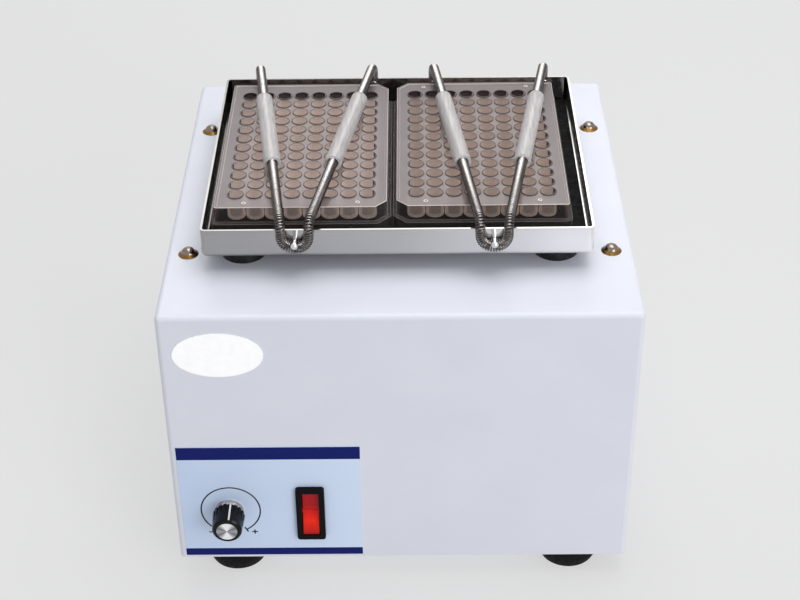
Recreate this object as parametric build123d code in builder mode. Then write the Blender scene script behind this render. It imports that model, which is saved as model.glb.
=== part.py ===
"""Microplate shaker: a steel cabinet whose motor swings a tray of two 96-well plates in a small orbit.

Millimetres, +Z up, front of the cabinet towards -Y. Everything is modelled about the middle of the
cabinet, and write_piece moves it so that the origin is the middle of the whole part, at the floor.
"""

import math
import os

from build123d import *

os.makedirs("parts", exist_ok=True)

# Clearances
running_clearance = 0.05
screw_clearance = 0.25
seat_clearance = 0.3
thread_clearance = 0.02

# Microplates: standard 96-well footprint
plate_length = 127.76
plate_width = 85.48
plate_height = 14.35
plate_flange_height = 6.2
plate_inset = 1.9
plate_corner = 6.5
plate_wall = 1.3
plate_deck = 1.5
well_spacing = 9.0
well_radius = 3.45
well_depth = 10.9
well_rows = 12
well_columns = 8
flange_notch = 12.0

# Tray, sized to hold two plates, with the room left round them
tray_spare_width = 10.04
tray_spare_depth = 21.84
tray_height = 15.0
tray_sheet = 1.0
tray_bend = 2.5
mat_thickness = 1.0
mat_gap = 0.5
plate_side_gap = 2.06
plate_middle_gap = 0.82
left_plate_rear_gap = 6.7
right_plate_rear_gap = 6.1

# Cabinet cover: one folded steel sheet, open below, standing out past the tray all round
casing_side_margin = 20.0
casing_end_margin = 37.2
casing_height = 147.0
cover_sheet = 1.2
bend_radius = 2.5
drive_hole_gap = 5.0
vent_length = 26.0
vent_width = 3.0
vent_spacing = 8.0
vent_rows = 3
vent_drop = 31.0

# Base plate: a shallow folded tray that the cover slips over
base_sheet = 1.5
base_flange = 10.0
base_clearance = 0.3
base_vent_length = 40.0
base_vent_width = 3.5
base_vent_spacing = 10.0
base_vent_rows = 5
cover_screw_inset = 33.0

# Rubber feet
foot_height = 12.0
foot_radius = 15.0
foot_tread_radius = 13.8
foot_side_inset = 27.5
foot_end_inset = 17.7
foot_recess_radius = 5.0
foot_recess_depth = 5.0

# Screws
m4_radius = 2.0
m4_head_radius = 3.8
m4_head_height = 2.4
m4_nut_flats = 7.0
m4_nut_height = 3.2
m3_radius = 1.5
m3_head_radius = 2.8
m3_head_height = 1.7
m3_nut_flats = 5.5
m3_nut_height = 2.4
thread_end = 1.0
first_screw_angle = 45.0

# Domed screws and cup washers on the top of the cabinet, and the motor bridge that they hold
dome_screw_side_inset = 10.5
dome_screw_end_inset = 53.0
dome_radius = 3.4
dome_height = 2.4
cup_washer_radius = 4.9
cup_washer_height = 1.3
bridge_sheet = 2.5
bridge_drop = 24.0
bridge_side_gap = 1.3
bridge_ledge = 18.0
bridge_screw_edge = 8.0
bridge_bend = 3.0

# Rubber mounts under the tray
mount_height = 8.0
mount_radius = 10.8
mount_side_inset = 17.0
mount_end_inset = 17.8
mount_stud_length = 3.5

# Motor
motor_radius = 26.0
motor_length = 70.0
motor_wall = 2.5
motor_face = 4.0
motor_boss_radius = 8.0
motor_boss_height = 4.0
motor_screw_ring_radius = 19.0
magnet_thickness = 3.0
magnet_length = 48.0
magnet_arc = 130.0
rotor_gap = 0.5
rotor_length = 42.0
rotor_slots = 8
rotor_slot_width = 2.0
rotor_slot_depth = 7.0
shaft_radius = 4.0
end_cap_height = 6.0
end_cap_floor = 1.5
end_cap_plug = 3.0
shaft_end_gap = 1.5
motor_tag_width = 4.8
motor_tag_thickness = 0.8
motor_tag_length = 6.3

# Crank, counterweight and bearing
orbit_radius = 1.0
hub_radius = 11.0
hub_height = 14.0
hub_gap = 2.0
hub_roof = 2.0
pin_collar_height = 4.5
pin_collar_radius = 5.6
bearing_bore_radius = 4.0
bearing_outer_radius = 11.0
bearing_width = 7.0
bearing_ring = 1.85
bearing_ball_count = 7
retainer_thickness = 0.8
weight_radius = 24.0
weight_thickness = 7.0
weight_ring_radius = 15.0
housing_radius = 15.0
housing_flange_radius = 23.0
housing_flange = 3.0
housing_lip_radius = 9.0
housing_screw_ring_radius = 18.5
housing_skirt = 1.0

# Spring clamps
spring_radius = 2.5
spring_end_rise = 2.5
sleeve_radius = 4.15
sleeve_bore_radius = 2.85
sleeve_length = 66.5
sleeve_rear_inset = 34.8
clamp_bend_radius = 5.0
loop_half_width = 6.5
loop_radius = 6.3
peg_radius = 1.3
peg_head_radius = 1.9
peg_length = 7.2
peg_drop = 4.0
peg_rivet_radius = 2.2
peg_rivet_height = 0.5
eye_wire = 0.9
left_clamp_peg_offset = -1.6
left_clamp_outer_offset = -27.9
left_clamp_inner_offset = 32.6
right_clamp_peg_offset = 4.4
right_clamp_inner_offset = -21.6
right_clamp_outer_offset = 37.4

# Control label, knob and switch on the front
label_side_inset = 3.3
label_width = 88.3
label_lower_inset = 1.6
label_height = 69.5
label_thickness = 0.3
knob_from_label_side = 23.4
knob_from_label_foot = 29.7
knob_radius = 7.9
knob_front_radius = 7.2
knob_length = 11.4
knob_chamfer = 0.8
knob_flutes = 18
knob_flute_width = 1.1
knob_cap_radius = 5.1
knob_cap_depth = 1.0
knob_cap_proud = 0.2
knob_gap = 1.1
pointer_width = 0.9
pointer_depth = 0.5
pointer_angle = 10.0
pot_bush_radius = 3.5
pot_nut_flats = 10.0
pot_nut_height = 2.2
pot_washer_radius = 7.2
pot_washer_thickness = 0.6
pot_body_radius = 8.2
pot_body_length = 9.0
pot_shaft_radius = 3.0
pot_terminal_width = 8.0
pot_terminal_height = 3.0
switch_from_label_side = 63.3
switch_from_label_foot = 28.2
bezel_width = 14.0
bezel_height = 32.6
bezel_thickness = 2.2
bezel_corner = 1.5
switch_body_width = 12.6
switch_body_height = 28.2
switch_body_depth = 21.0
rocker_width = 7.8
rocker_half_height = 13.0
rocker_gap = 0.35
rocker_pivot_depth = 4.0
rocker_under = 2.5
rocker_rise = 2.6
rocker_dip = 0.6
rocker_tilt = 9.0
rocker_pin_radius = 1.2
rocker_pin_reach = 1.0
switch_tag_width = 4.8
switch_tag_thickness = 0.8
switch_tag_length = 7.0
switch_tag_spacing = 7.0

# Rear panel: mains inlet and fuse
inlet_side_inset = 51.5
inlet_rise = 34.0
inlet_flange_width = 48.0
inlet_flange_height = 22.4
inlet_flange = 3.0
inlet_corner = 2.0
inlet_body_width = 27.0
inlet_body_height = 19.6
inlet_body_depth = 22.0
inlet_socket_width = 24.4
inlet_socket_height = 16.4
inlet_socket_depth = 15.0
inlet_socket_chamfer = 4.5
inlet_screw_spacing = 40.0
pin_width = 2.0
pin_height = 4.0
pin_length = 14.0
pin_spread = 7.0
pin_rise = 2.0
fuse_above_inlet = 32.0
fuse_body_radius = 6.0
fuse_body_length = 28.0
fuse_flange_radius = 8.5
fuse_flange = 2.0
fuse_cap_radius = 6.5
fuse_cap_length = 9.0
fuse_cap_chamfer = 0.8
fuse_slot_width = 1.2
fuse_slot_depth = 1.5
fuse_nut_flats = 17.0
fuse_nut_height = 3.0

# Speed control and transformer, on the base plate
board_side_gap = 17.5
board_front_gap = 26.0
board_width = 64.0
board_depth = 78.0
board_thickness = 1.6
board_standoff_height = 8.0
board_standoff_radius = 3.0
board_hole_inset = 5.0
heat_sink_y = 24.0
heat_sink_width = 40.0
heat_sink_plate = 3.0
heat_sink_height = 25.0
fin_count = 7
fin_spacing = 6.0
fin_length = 8.0
fin_thickness = 1.5
capacitor_x = 16.0
capacitor_y = -6.0
capacitor_radius = 6.0
capacitor_height = 20.0
terminal_y = -30.0
terminal_width = 36.0
terminal_depth = 9.0
terminal_height = 11.0
transformer_side_gap = 25.5
transformer_rear_gap = 40.0
core_width = 48.0
core_depth = 26.0
core_height = 40.0
core_limb = 8.0
core_middle = 14.0
coil_depth = 42.0

# Sizes that follow
tray_width = 2 * plate_width + tray_spare_width + 2 * tray_sheet
tray_depth = plate_length + tray_spare_depth + 2 * tray_sheet
casing_width = tray_width + 2 * casing_side_margin
casing_depth = tray_depth + 2 * casing_end_margin
drive_hole_radius = housing_radius + orbit_radius + drive_hole_gap

# Levels and places that follow
casing_top = foot_height + casing_height
panel_under = casing_top - cover_sheet
bridge_top = panel_under - bridge_drop
bridge_under = bridge_top - bridge_sheet
base_top = foot_height + base_sheet
base_screw_z = foot_height + (base_flange + base_sheet) / 2
tray_bottom = casing_top + mount_height
tray_floor = tray_bottom + tray_sheet
tray_rim = tray_bottom + tray_height
tray_x = -orbit_radius
tray_m4_head = m4_radius + tray_sheet
tray_m3_head = m3_radius + tray_sheet
mat_top = tray_floor + mat_thickness
plate_top = mat_top + plate_height
right_x = casing_width / 2
front_y = -casing_depth / 2
rear_y = casing_depth / 2
tray_front_y = -tray_depth / 2
tray_rear_y = tray_depth / 2
left_plate_x = tray_x - tray_width / 2 + tray_sheet + plate_side_gap + plate_width / 2
right_plate_x = left_plate_x + plate_width + plate_middle_gap
left_plate_y = tray_rear_y - tray_sheet - left_plate_rear_gap - plate_length / 2
right_plate_y = tray_rear_y - tray_sheet - right_plate_rear_gap - plate_length / 2
mount_x = tray_width / 2 - mount_side_inset
mount_y = tray_depth / 2 - mount_end_inset
dome_screw_x = right_x - dome_screw_side_inset
dome_screw_y = rear_y - dome_screw_end_inset
cover_screw_y = rear_y - cover_screw_inset
foot_x = right_x - foot_side_inset
foot_y = rear_y - foot_end_inset
bridge_half_width = right_x - cover_sheet - bridge_side_gap
bridge_web_x = bridge_half_width - bridge_ledge
bridge_depth = 2 * (dome_screw_y + bridge_screw_edge)
left_clamp_peg_x = left_plate_x + left_clamp_peg_offset
left_clamp_rear_x = (left_plate_x + left_clamp_outer_offset, left_plate_x + left_clamp_inner_offset)
right_clamp_peg_x = right_plate_x + right_clamp_peg_offset
right_clamp_rear_x = (right_plate_x + right_clamp_inner_offset, right_plate_x + right_clamp_outer_offset)
sleeve_rear_y = tray_rear_y - sleeve_rear_inset
label_left = -right_x + label_side_inset
label_bottom = foot_height + label_lower_inset
knob_x = label_left + knob_from_label_side
knob_z = label_bottom + knob_from_label_foot
switch_x = label_left + switch_from_label_side
switch_z = label_bottom + switch_from_label_foot
vent_z = casing_top - vent_drop
inlet_x = -right_x + inlet_side_inset
inlet_z = foot_height + inlet_rise
fuse_x = inlet_x
fuse_z = inlet_z + fuse_above_inlet
board_x = right_x - board_side_gap - board_width / 2
board_y = front_y + board_front_gap + board_depth / 2
transformer_x = right_x - transformer_side_gap - core_width / 2
transformer_y = rear_y - transformer_rear_gap - coil_depth / 2
leg_z = plate_top + sleeve_radius + seat_clearance
peg_z = tray_rim - peg_drop
spring_end_z = peg_z + spring_end_rise
loop_z = peg_z - peg_radius - seat_clearance - spring_radius
clamp_front_y = tray_front_y - spring_radius - 2 * seat_clearance
clamp_rear_y = tray_rear_y + spring_radius + 2 * seat_clearance
hub_bottom = bridge_under + motor_boss_height + hub_gap
hub_top = hub_bottom + hub_height
bearing_bottom = hub_top + pin_collar_height
bearing_top = bearing_bottom + bearing_width
knob_back = label_thickness + pot_washer_thickness + pot_nut_height + knob_gap
front_reach = knob_back + knob_length + knob_cap_proud
rear_reach = fuse_flange + fuse_cap_length
origin_shift_y = (front_reach - rear_reach) / 2

# Working planes: local x across, local y up, z out of the cabinet
front_plane = Plane(origin=(0, front_y, 0), x_dir=(1, 0, 0), z_dir=(0, -1, 0))
rear_plane = Plane(origin=(0, rear_y, 0), x_dir=(-1, 0, 0), z_dir=(0, 1, 0))
right_plane = Plane(origin=(casing_width / 2, 0, 0), x_dir=(0, 1, 0), z_dir=(1, 0, 0))
left_plane = Plane(origin=(-casing_width / 2, 0, 0), x_dir=(0, -1, 0), z_dir=(-1, 0, 0))


def write_piece(piece, name):
    """Move a finished piece to the part's own origin and write it."""
    placed = piece.part.moved(Location((0, origin_shift_y, 0)))
    placed.label = name
    export_step(placed, f"parts/{name}.step")


def corners(x, y, z=0):
    """The four places (x, y, z) mirrored about the middle."""
    return [Location((sx * x, sy * y, z)) for sx in (-1, 1) for sy in (-1, 1)]


def on_plane(plane, x, y, out=0):
    """A place on a working plane, with z out of the cabinet."""
    return plane.location * Location((x, y, out))


def copies(shape, places):
    """One solid repeated at each place, as one group."""
    with BuildPart() as group:
        with Locations(*places):
            add(shape)
    return group


def turned(profile, arc=360):
    """A solid of revolution about Z from (radius, height) points."""
    with BuildPart() as solid:
        with BuildSketch(Plane.XZ):
            with BuildLine():
                Polyline(*profile, close=True)
            make_face()
        revolve(axis=Axis.Z, revolution_arc=arc)
    return solid.part


def domed_screw(head_radius, head_height, radius, length):
    """A screw with a domed head above z = 0 and its shank below."""
    ball_radius = (head_radius**2 + head_height**2) / (2 * head_height)
    half_angle = math.asin(head_radius / ball_radius) / 2
    halfway = (ball_radius * math.sin(half_angle), head_height - ball_radius * (1 - math.cos(half_angle)))
    with BuildPart() as screw:
        with BuildSketch(Plane.XZ):
            with BuildLine():
                Polyline((0, head_height), (0, -length), (radius, -length), (radius, 0), (head_radius, 0))
                ThreePointArc((head_radius, 0), halfway, (0, head_height))
            make_face()
        revolve(axis=Axis.Z)
    return screw.part


def flat_screw(head_radius, head_height, radius, length):
    """A screw with a plain cylindrical head above z = 0 and its shank below."""
    return turned(
        [
            (0, head_height),
            (head_radius, head_height),
            (head_radius, 0),
            (radius, 0),
            (radius, -length),
            (0, -length),
        ]
    )


def sunk_screw(radius, length):
    """A countersunk screw for the tray's floor, its head flush with z = 0."""
    head = radius + tray_sheet
    return turned([(0, 0), (head, 0), (radius, -tray_sheet), (radius, -length), (0, -length)])


def hex_nut(flats, height, bore_radius):
    """A plain hexagon nut standing on z = 0."""
    with BuildPart() as nut:
        with BuildSketch():
            RegularPolygon(flats / 2, 6, major_radius=False)
            Circle(bore_radius, mode=Mode.SUBTRACT)
        extrude(amount=height)
    return nut.part


def tube(outer_radius, inner_radius, height):
    """A plain ring standing on z = 0."""
    with BuildPart() as ring:
        with BuildSketch():
            Circle(outer_radius)
            Circle(inner_radius, mode=Mode.SUBTRACT)
        extrude(amount=height)
    return ring.part


# Cabinet cover, with its holes and cut-outs
with BuildPart() as casing:
    with BuildSketch(Plane.XY.offset(foot_height)):
        Rectangle(casing_width, casing_depth)
    extrude(amount=casing_height)
    upright_edges = casing.edges().filter_by(Axis.Z)
    top_edges = casing.faces().sort_by(Axis.Z)[-1].edges()
    fillet(upright_edges + top_edges, bend_radius)
    with BuildSketch(Plane.XY.offset(foot_height)):
        inner_radius = bend_radius - cover_sheet
        RectangleRounded(casing_width - 2 * cover_sheet, casing_depth - 2 * cover_sheet, inner_radius)
    extrude(amount=casing_height - cover_sheet, mode=Mode.SUBTRACT)
    with BuildSketch(Plane.XY.offset(casing_top)):
        Circle(drive_hole_radius)
        with GridLocations(2 * dome_screw_x, 2 * dome_screw_y, 2, 2):
            Circle(m4_radius + screw_clearance)
        with GridLocations(2 * mount_x, 2 * mount_y, 2, 2):
            Circle(m4_radius + screw_clearance)
    extrude(amount=-2 * cover_sheet, mode=Mode.SUBTRACT)
    with BuildSketch(front_plane):
        with Locations((knob_x, knob_z)):
            Circle(pot_bush_radius + screw_clearance)
        with Locations((switch_x, switch_z)):
            Rectangle(switch_body_width + 2 * seat_clearance, switch_body_height + 2 * seat_clearance)
    extrude(amount=-2 * cover_sheet, mode=Mode.SUBTRACT)
    with BuildSketch(rear_plane):
        with Locations((-inlet_x, inlet_z)):
            Rectangle(inlet_body_width + 2 * seat_clearance, inlet_body_height + 2 * seat_clearance)
            with GridLocations(inlet_screw_spacing, 0, 2, 1):
                Circle(m3_radius + screw_clearance)
        with Locations((-fuse_x, fuse_z)):
            Circle(fuse_body_radius + screw_clearance)
        with Locations((0, vent_z)):
            with GridLocations(2 * vent_length, vent_spacing, 3, vent_rows):
                SlotOverall(vent_length, vent_width)
    extrude(amount=-2 * cover_sheet, mode=Mode.SUBTRACT)
    for side_plane in (left_plane, right_plane):
        with BuildSketch(side_plane):
            with Locations((0, base_screw_z)):
                with GridLocations(2 * cover_screw_y, 0, 2, 1):
                    Circle(m4_radius + screw_clearance)
        extrude(amount=-2 * cover_sheet, mode=Mode.SUBTRACT)
write_piece(casing, "casing")

# Base plate with its folded rim, vents and tapped holes
base_width = casing_width - 2 * (cover_sheet + base_clearance)
base_depth = casing_depth - 2 * (cover_sheet + base_clearance)
with BuildPart() as base_plate:
    with BuildSketch(Plane.XY.offset(foot_height)):
        RectangleRounded(base_width, base_depth, base_sheet)
    extrude(amount=base_flange)
    with BuildSketch(Plane.XY.offset(base_top)):
        Rectangle(base_width - 2 * base_sheet, base_depth - 2 * base_sheet)
    extrude(amount=base_flange, mode=Mode.SUBTRACT)
    with BuildSketch(Plane.XY.offset(foot_height)):
        with GridLocations(2 * foot_x, 2 * foot_y, 2, 2):
            Circle(m4_radius + thread_clearance)
        with GridLocations(0, base_vent_spacing, 1, base_vent_rows):
            SlotOverall(base_vent_length, base_vent_width)
    extrude(amount=base_sheet, mode=Mode.SUBTRACT)
    for side_plane in (left_plane, right_plane):
        with BuildSketch(side_plane):
            with Locations((0, base_screw_z)):
                with GridLocations(2 * cover_screw_y, 0, 2, 1):
                    Circle(m4_radius + thread_clearance)
        extrude(amount=-2 * (cover_sheet + base_clearance + base_sheet), mode=Mode.SUBTRACT)
write_piece(base_plate, "base_plate")

cover_screw_length = cover_sheet + base_clearance + base_sheet + thread_end
cover_screw = domed_screw(m4_head_radius, m4_head_height, m4_radius, cover_screw_length)
cover_screw_places = [
    on_plane(plane, y, base_screw_z)
    for plane in (left_plane, right_plane)
    for y in (-cover_screw_y, cover_screw_y)
]
write_piece(copies(cover_screw, cover_screw_places), "cover_screws")

# Feet: turned rubber buttons with a bulging side, screwed up into the base plate
with BuildPart() as foot:
    with BuildSketch(Plane.XZ):
        with BuildLine():
            Polyline(
                (foot_tread_radius, 0),
                (foot_recess_radius, 0),
                (foot_recess_radius, foot_recess_depth),
                (m4_radius + screw_clearance, foot_recess_depth),
                (m4_radius + screw_clearance, foot_height),
                (foot_radius, foot_height),
            )
            RadiusArc((foot_radius, foot_height), (foot_tread_radius, 0), foot_radius)
        make_face()
    revolve(axis=Axis.Z)
write_piece(copies(foot.part, corners(foot_x, foot_y)), "feet")

foot_screw_length = foot_height - foot_recess_depth + base_sheet + thread_end
foot_screw = flat_screw(m4_head_radius, m4_head_height, m4_radius, foot_screw_length)
head_down = Location((0, 0, foot_recess_depth), (180, 0, 0))
foot_screw_places = [place * head_down for place in corners(foot_x, foot_y)]
write_piece(copies(foot_screw, foot_screw_places), "foot_screws")

# Motor bridge: a folded channel hung under the top panel by the four domed screws, drawn as the
# middle line of its sheet and then given its thickness
with BuildPart() as motor_bridge:
    with BuildSketch(Plane.XZ.offset(-bridge_depth / 2)):
        with BuildLine():
            middle_top = panel_under - bridge_sheet / 2
            middle_low = bridge_top - bridge_sheet / 2
            FilletPolyline(
                (-bridge_half_width, middle_top),
                (-bridge_web_x, middle_top),
                (-bridge_web_x, middle_low),
                (bridge_web_x, middle_low),
                (bridge_web_x, middle_top),
                (bridge_half_width, middle_top),
                radius=bridge_bend,
            )
        trace(line_width=bridge_sheet)
    extrude(amount=bridge_depth)
    with BuildSketch(Plane.XY.offset(panel_under)):
        with GridLocations(2 * dome_screw_x, 2 * dome_screw_y, 2, 2):
            Circle(m4_radius + thread_clearance)
    extrude(amount=-bridge_sheet, mode=Mode.SUBTRACT)
    with BuildSketch(Plane.XY.offset(bridge_top)):
        Circle(motor_boss_radius + seat_clearance)
        with PolarLocations(motor_screw_ring_radius, 4, first_screw_angle):
            Circle(m4_radius + screw_clearance)
    extrude(amount=-bridge_sheet, mode=Mode.SUBTRACT)
write_piece(motor_bridge, "motor_bridge")

cup_washer = turned(
    [
        (m4_radius + screw_clearance, 0),
        (cup_washer_radius, 0),
        (dome_radius, cup_washer_height),
        (m4_radius + screw_clearance, cup_washer_height),
    ]
)
write_piece(copies(cup_washer, corners(dome_screw_x, dome_screw_y, casing_top)), "cup_washers")

dome_length = cup_washer_height + cover_sheet + bridge_sheet + thread_end
dome_screw = domed_screw(dome_radius, dome_height, m4_radius, dome_length)
dome_places = corners(dome_screw_x, dome_screw_y, casing_top + cup_washer_height)
write_piece(copies(dome_screw, dome_places), "dome_screws")

# Rubber mounts: each leans by the orbit radius from the cabinet's stud to the tray's screw
with BuildPart() as rubber_mounts:
    for place in corners(mount_x, mount_y, casing_top):
        stand = place.position
        with BuildSketch(Plane.XY.offset(casing_top)):
            with Locations((stand.X, stand.Y)):
                Circle(mount_radius)
        with BuildSketch(Plane.XY.offset(tray_bottom)):
            with Locations((stand.X + tray_x, stand.Y)):
                Circle(mount_radius)
        loft()
    with BuildSketch(Plane.XY.offset(casing_top)):
        with GridLocations(2 * mount_x, 2 * mount_y, 2, 2):
            Circle(m4_radius)
    extrude(amount=mount_stud_length, mode=Mode.SUBTRACT)
    with BuildSketch(Plane.XY.offset(tray_bottom)):
        with Locations((tray_x, 0)):
            with GridLocations(2 * mount_x, 2 * mount_y, 2, 2):
                Circle(m4_radius + thread_clearance)
    extrude(amount=-mount_stud_length, mode=Mode.SUBTRACT)
write_piece(rubber_mounts, "rubber_mounts")

stud_below = cover_sheet + m4_nut_height + thread_end
mount_stud = turned(
    [(0, mount_stud_length), (m4_radius, mount_stud_length), (m4_radius, -stud_below), (0, -stud_below)]
)
write_piece(copies(mount_stud, corners(mount_x, mount_y, casing_top)), "mount_studs")
mount_nut = hex_nut(m4_nut_flats, m4_nut_height, m4_radius + thread_clearance)
write_piece(copies(mount_nut, corners(mount_x, mount_y, panel_under - m4_nut_height)), "mount_nuts")

# Motor can, hung under the bridge with its boss through the bridge's hole
can_bottom = bridge_under - motor_length
with BuildPart() as motor_can:
    with BuildSketch(Plane.XY.offset(can_bottom)):
        Circle(motor_radius)
    extrude(amount=motor_length)
    with BuildSketch(Plane.XY.offset(can_bottom)):
        Circle(motor_radius - motor_wall)
    extrude(amount=motor_length - motor_face, mode=Mode.SUBTRACT)
    with BuildSketch(Plane.XY.offset(bridge_under)):
        Circle(motor_boss_radius)
    extrude(amount=motor_boss_height)
    with BuildSketch(Plane.XY.offset(bridge_under + motor_boss_height)):
        Circle(shaft_radius + running_clearance)
    extrude(amount=-motor_boss_height - motor_face, mode=Mode.SUBTRACT)
    with BuildSketch(Plane.XY.offset(bridge_under)):
        with PolarLocations(motor_screw_ring_radius, 4, first_screw_angle):
            Circle(m4_radius + thread_clearance)
    extrude(amount=-motor_face, mode=Mode.SUBTRACT)
write_piece(motor_can, "motor_can")

motor_screw = flat_screw(m4_head_radius, m4_head_height, m4_radius, bridge_sheet + motor_face)
with BuildPart() as motor_screws:
    with Locations((0, 0, bridge_top)):
        with PolarLocations(motor_screw_ring_radius, 4, first_screw_angle):
            add(motor_screw)
write_piece(motor_screws, "motor_screws")

# Two curved magnets on the can's inner wall
magnet_outer = motor_radius - motor_wall
magnet_inner = magnet_outer - magnet_thickness
magnet_bottom = can_bottom + end_cap_plug + seat_clearance
magnet_profile = [
    (magnet_inner, magnet_bottom),
    (magnet_outer, magnet_bottom),
    (magnet_outer, magnet_bottom + magnet_length),
    (magnet_inner, magnet_bottom + magnet_length),
]
magnet = turned(magnet_profile, arc=magnet_arc)
write_piece(copies(magnet, [Location((0, 0, 0), (0, 0, turn)) for turn in (0, 180)]), "motor_magnets")

# Motor end cap: a plug in the open end of the can with a bearing boss and two tags
with BuildPart() as motor_end_cap:
    with BuildSketch(Plane.XY.offset(can_bottom)):
        Circle(motor_radius)
    extrude(amount=-end_cap_height)
    with BuildSketch(Plane.XY.offset(can_bottom)):
        Circle(motor_radius - motor_wall - thread_clearance)
    extrude(amount=end_cap_plug)
    with BuildSketch(Plane.XY.offset(can_bottom - end_cap_height + end_cap_floor)):
        Circle(shaft_radius + running_clearance)
    extrude(amount=end_cap_height - end_cap_floor + end_cap_plug, mode=Mode.SUBTRACT)
    with BuildSketch(Plane.XY.offset(can_bottom - end_cap_height)):
        with GridLocations(0, motor_radius, 1, 2):
            Rectangle(motor_tag_width, motor_tag_thickness)
    extrude(amount=-motor_tag_length)
write_piece(motor_end_cap, "motor_end_cap")

# Turning parts of the motor: slotted rotor on its shaft
rotor_radius = magnet_inner - rotor_gap
rotor_bottom = magnet_bottom + (magnet_length - rotor_length) / 2
with BuildPart() as motor_rotor:
    with BuildSketch(Plane.XY.offset(rotor_bottom)):
        Circle(rotor_radius)
        with PolarLocations(rotor_radius - rotor_slot_depth / 2, rotor_slots):
            Rectangle(rotor_slot_depth + rotor_gap, rotor_slot_width, mode=Mode.SUBTRACT)
        Circle(shaft_radius + thread_clearance, mode=Mode.SUBTRACT)
    extrude(amount=rotor_length)
write_piece(motor_rotor, "motor_rotor")

shaft_bottom = can_bottom - end_cap_height + end_cap_floor + shaft_end_gap
shaft_top = hub_top - hub_roof
with BuildPart() as motor_shaft:
    with BuildSketch(Plane.XY.offset(shaft_bottom)):
        Circle(shaft_radius)
    extrude(amount=shaft_top - shaft_bottom)
write_piece(motor_shaft, "motor_shaft")

# Crank hub: one turned piece with the offset pin that makes the orbit
with BuildPart() as crank_hub:
    with BuildSketch(Plane.XY.offset(hub_bottom)):
        Circle(hub_radius)
    extrude(amount=hub_height)
    with BuildSketch(Plane.XY.offset(hub_top)):
        with Locations((tray_x, 0)):
            Circle(pin_collar_radius)
    extrude(amount=pin_collar_height)
    with BuildSketch(Plane.XY.offset(bearing_bottom)):
        with Locations((tray_x, 0)):
            Circle(bearing_bore_radius - thread_clearance)
    extrude(amount=bearing_width)
    with BuildSketch(Plane.XY.offset(hub_bottom)):
        Circle(shaft_radius + thread_clearance)
    extrude(amount=shaft_top - hub_bottom, mode=Mode.SUBTRACT)
    with BuildSketch(Plane.XY.offset(bearing_top)):
        with Locations((tray_x, 0)):
            Circle(m3_radius + thread_clearance)
    extrude(amount=-bearing_width, mode=Mode.SUBTRACT)
    weight_middle = hub_bottom + hub_height / 2
    with BuildSketch(Plane.YZ.offset(hub_radius)):
        with Locations((0, weight_middle)):
            Circle(m4_radius + thread_clearance)
    extrude(amount=-(hub_radius - shaft_radius), mode=Mode.SUBTRACT)
write_piece(crank_hub, "crank_hub")

# Counterweight: a ring on the hub with a heavy half opposite the pin
with BuildPart() as counterweight:
    with BuildSketch(Plane.XY.offset(weight_middle - weight_thickness / 2)):
        Circle(weight_ring_radius)
        with BuildSketch(mode=Mode.PRIVATE) as heavy_half:
            Circle(weight_radius)
            with Locations((-weight_radius / 2, 0)):
                Rectangle(weight_radius, 2 * weight_radius, mode=Mode.SUBTRACT)
        add(heavy_half.sketch)
        Circle(hub_radius + thread_clearance, mode=Mode.SUBTRACT)
    extrude(amount=weight_thickness)
    with BuildSketch(Plane.YZ.offset(weight_radius)):
        with Locations((0, weight_middle)):
            Circle(m4_radius + screw_clearance)
    extrude(amount=-weight_radius, mode=Mode.SUBTRACT)
write_piece(counterweight, "counterweight")

grub_length = weight_ring_radius - shaft_radius
with BuildPart() as crank_grub_screw:
    with BuildSketch(Plane.YZ.offset(shaft_radius)):
        with Locations((0, weight_middle)):
            Circle(m4_radius)
    extrude(amount=grub_length)
write_piece(crank_grub_screw, "crank_grub_screw")

# Ball bearing on the pin
pin_place = Location((tray_x, 0, bearing_bottom))
inner_ring_radius = bearing_bore_radius + bearing_ring
outer_ring_radius = bearing_outer_radius - bearing_ring
ball_radius = (outer_ring_radius - inner_ring_radius) / 2 - running_clearance
ball_circle = (outer_ring_radius + inner_ring_radius) / 2
inner_ring = tube(inner_ring_radius, bearing_bore_radius, bearing_width)
outer_ring = tube(bearing_outer_radius, outer_ring_radius, bearing_width)
write_piece(copies(inner_ring, [pin_place]), "bearing_inner_ring")
write_piece(copies(outer_ring, [pin_place]), "bearing_outer_ring")
with BuildPart() as balls:
    with Locations((tray_x, 0, bearing_bottom + bearing_width / 2)):
        with PolarLocations(ball_circle, bearing_ball_count):
            Sphere(ball_radius)
write_piece(balls, "bearing_balls")

retainer_washer = tube(inner_ring_radius, m3_radius + screw_clearance, retainer_thickness)
write_piece(copies(retainer_washer, [Location((tray_x, 0, bearing_top))]), "pin_washer")
pin_screw_length = retainer_thickness + bearing_width - thread_end
pin_screw = flat_screw(m3_head_radius, m3_head_height, m3_radius, pin_screw_length)
write_piece(copies(pin_screw, [Location((tray_x, 0, bearing_top + retainer_thickness))]), "pin_screw")

# Bearing housing under the tray, and its four screws from the tray's floor
housing_bottom = bearing_bottom - housing_skirt
bearing_housing = turned(
    [
        (bearing_outer_radius + thread_clearance, housing_bottom),
        (housing_radius, housing_bottom),
        (housing_radius, tray_bottom - housing_flange),
        (housing_flange_radius, tray_bottom - housing_flange),
        (housing_flange_radius, tray_bottom),
        (housing_lip_radius, tray_bottom),
        (housing_lip_radius, bearing_top),
        (bearing_outer_radius + thread_clearance, bearing_top),
    ]
)
with BuildPart() as housing:
    with Locations((tray_x, 0, 0)):
        add(bearing_housing)
    with BuildSketch(Plane.XY.offset(tray_bottom)):
        with Locations((tray_x, 0)):
            with PolarLocations(housing_screw_ring_radius, 4, first_screw_angle):
                Circle(m3_radius + thread_clearance)
    extrude(amount=-housing_flange, mode=Mode.SUBTRACT)
write_piece(housing, "bearing_housing")

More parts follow.
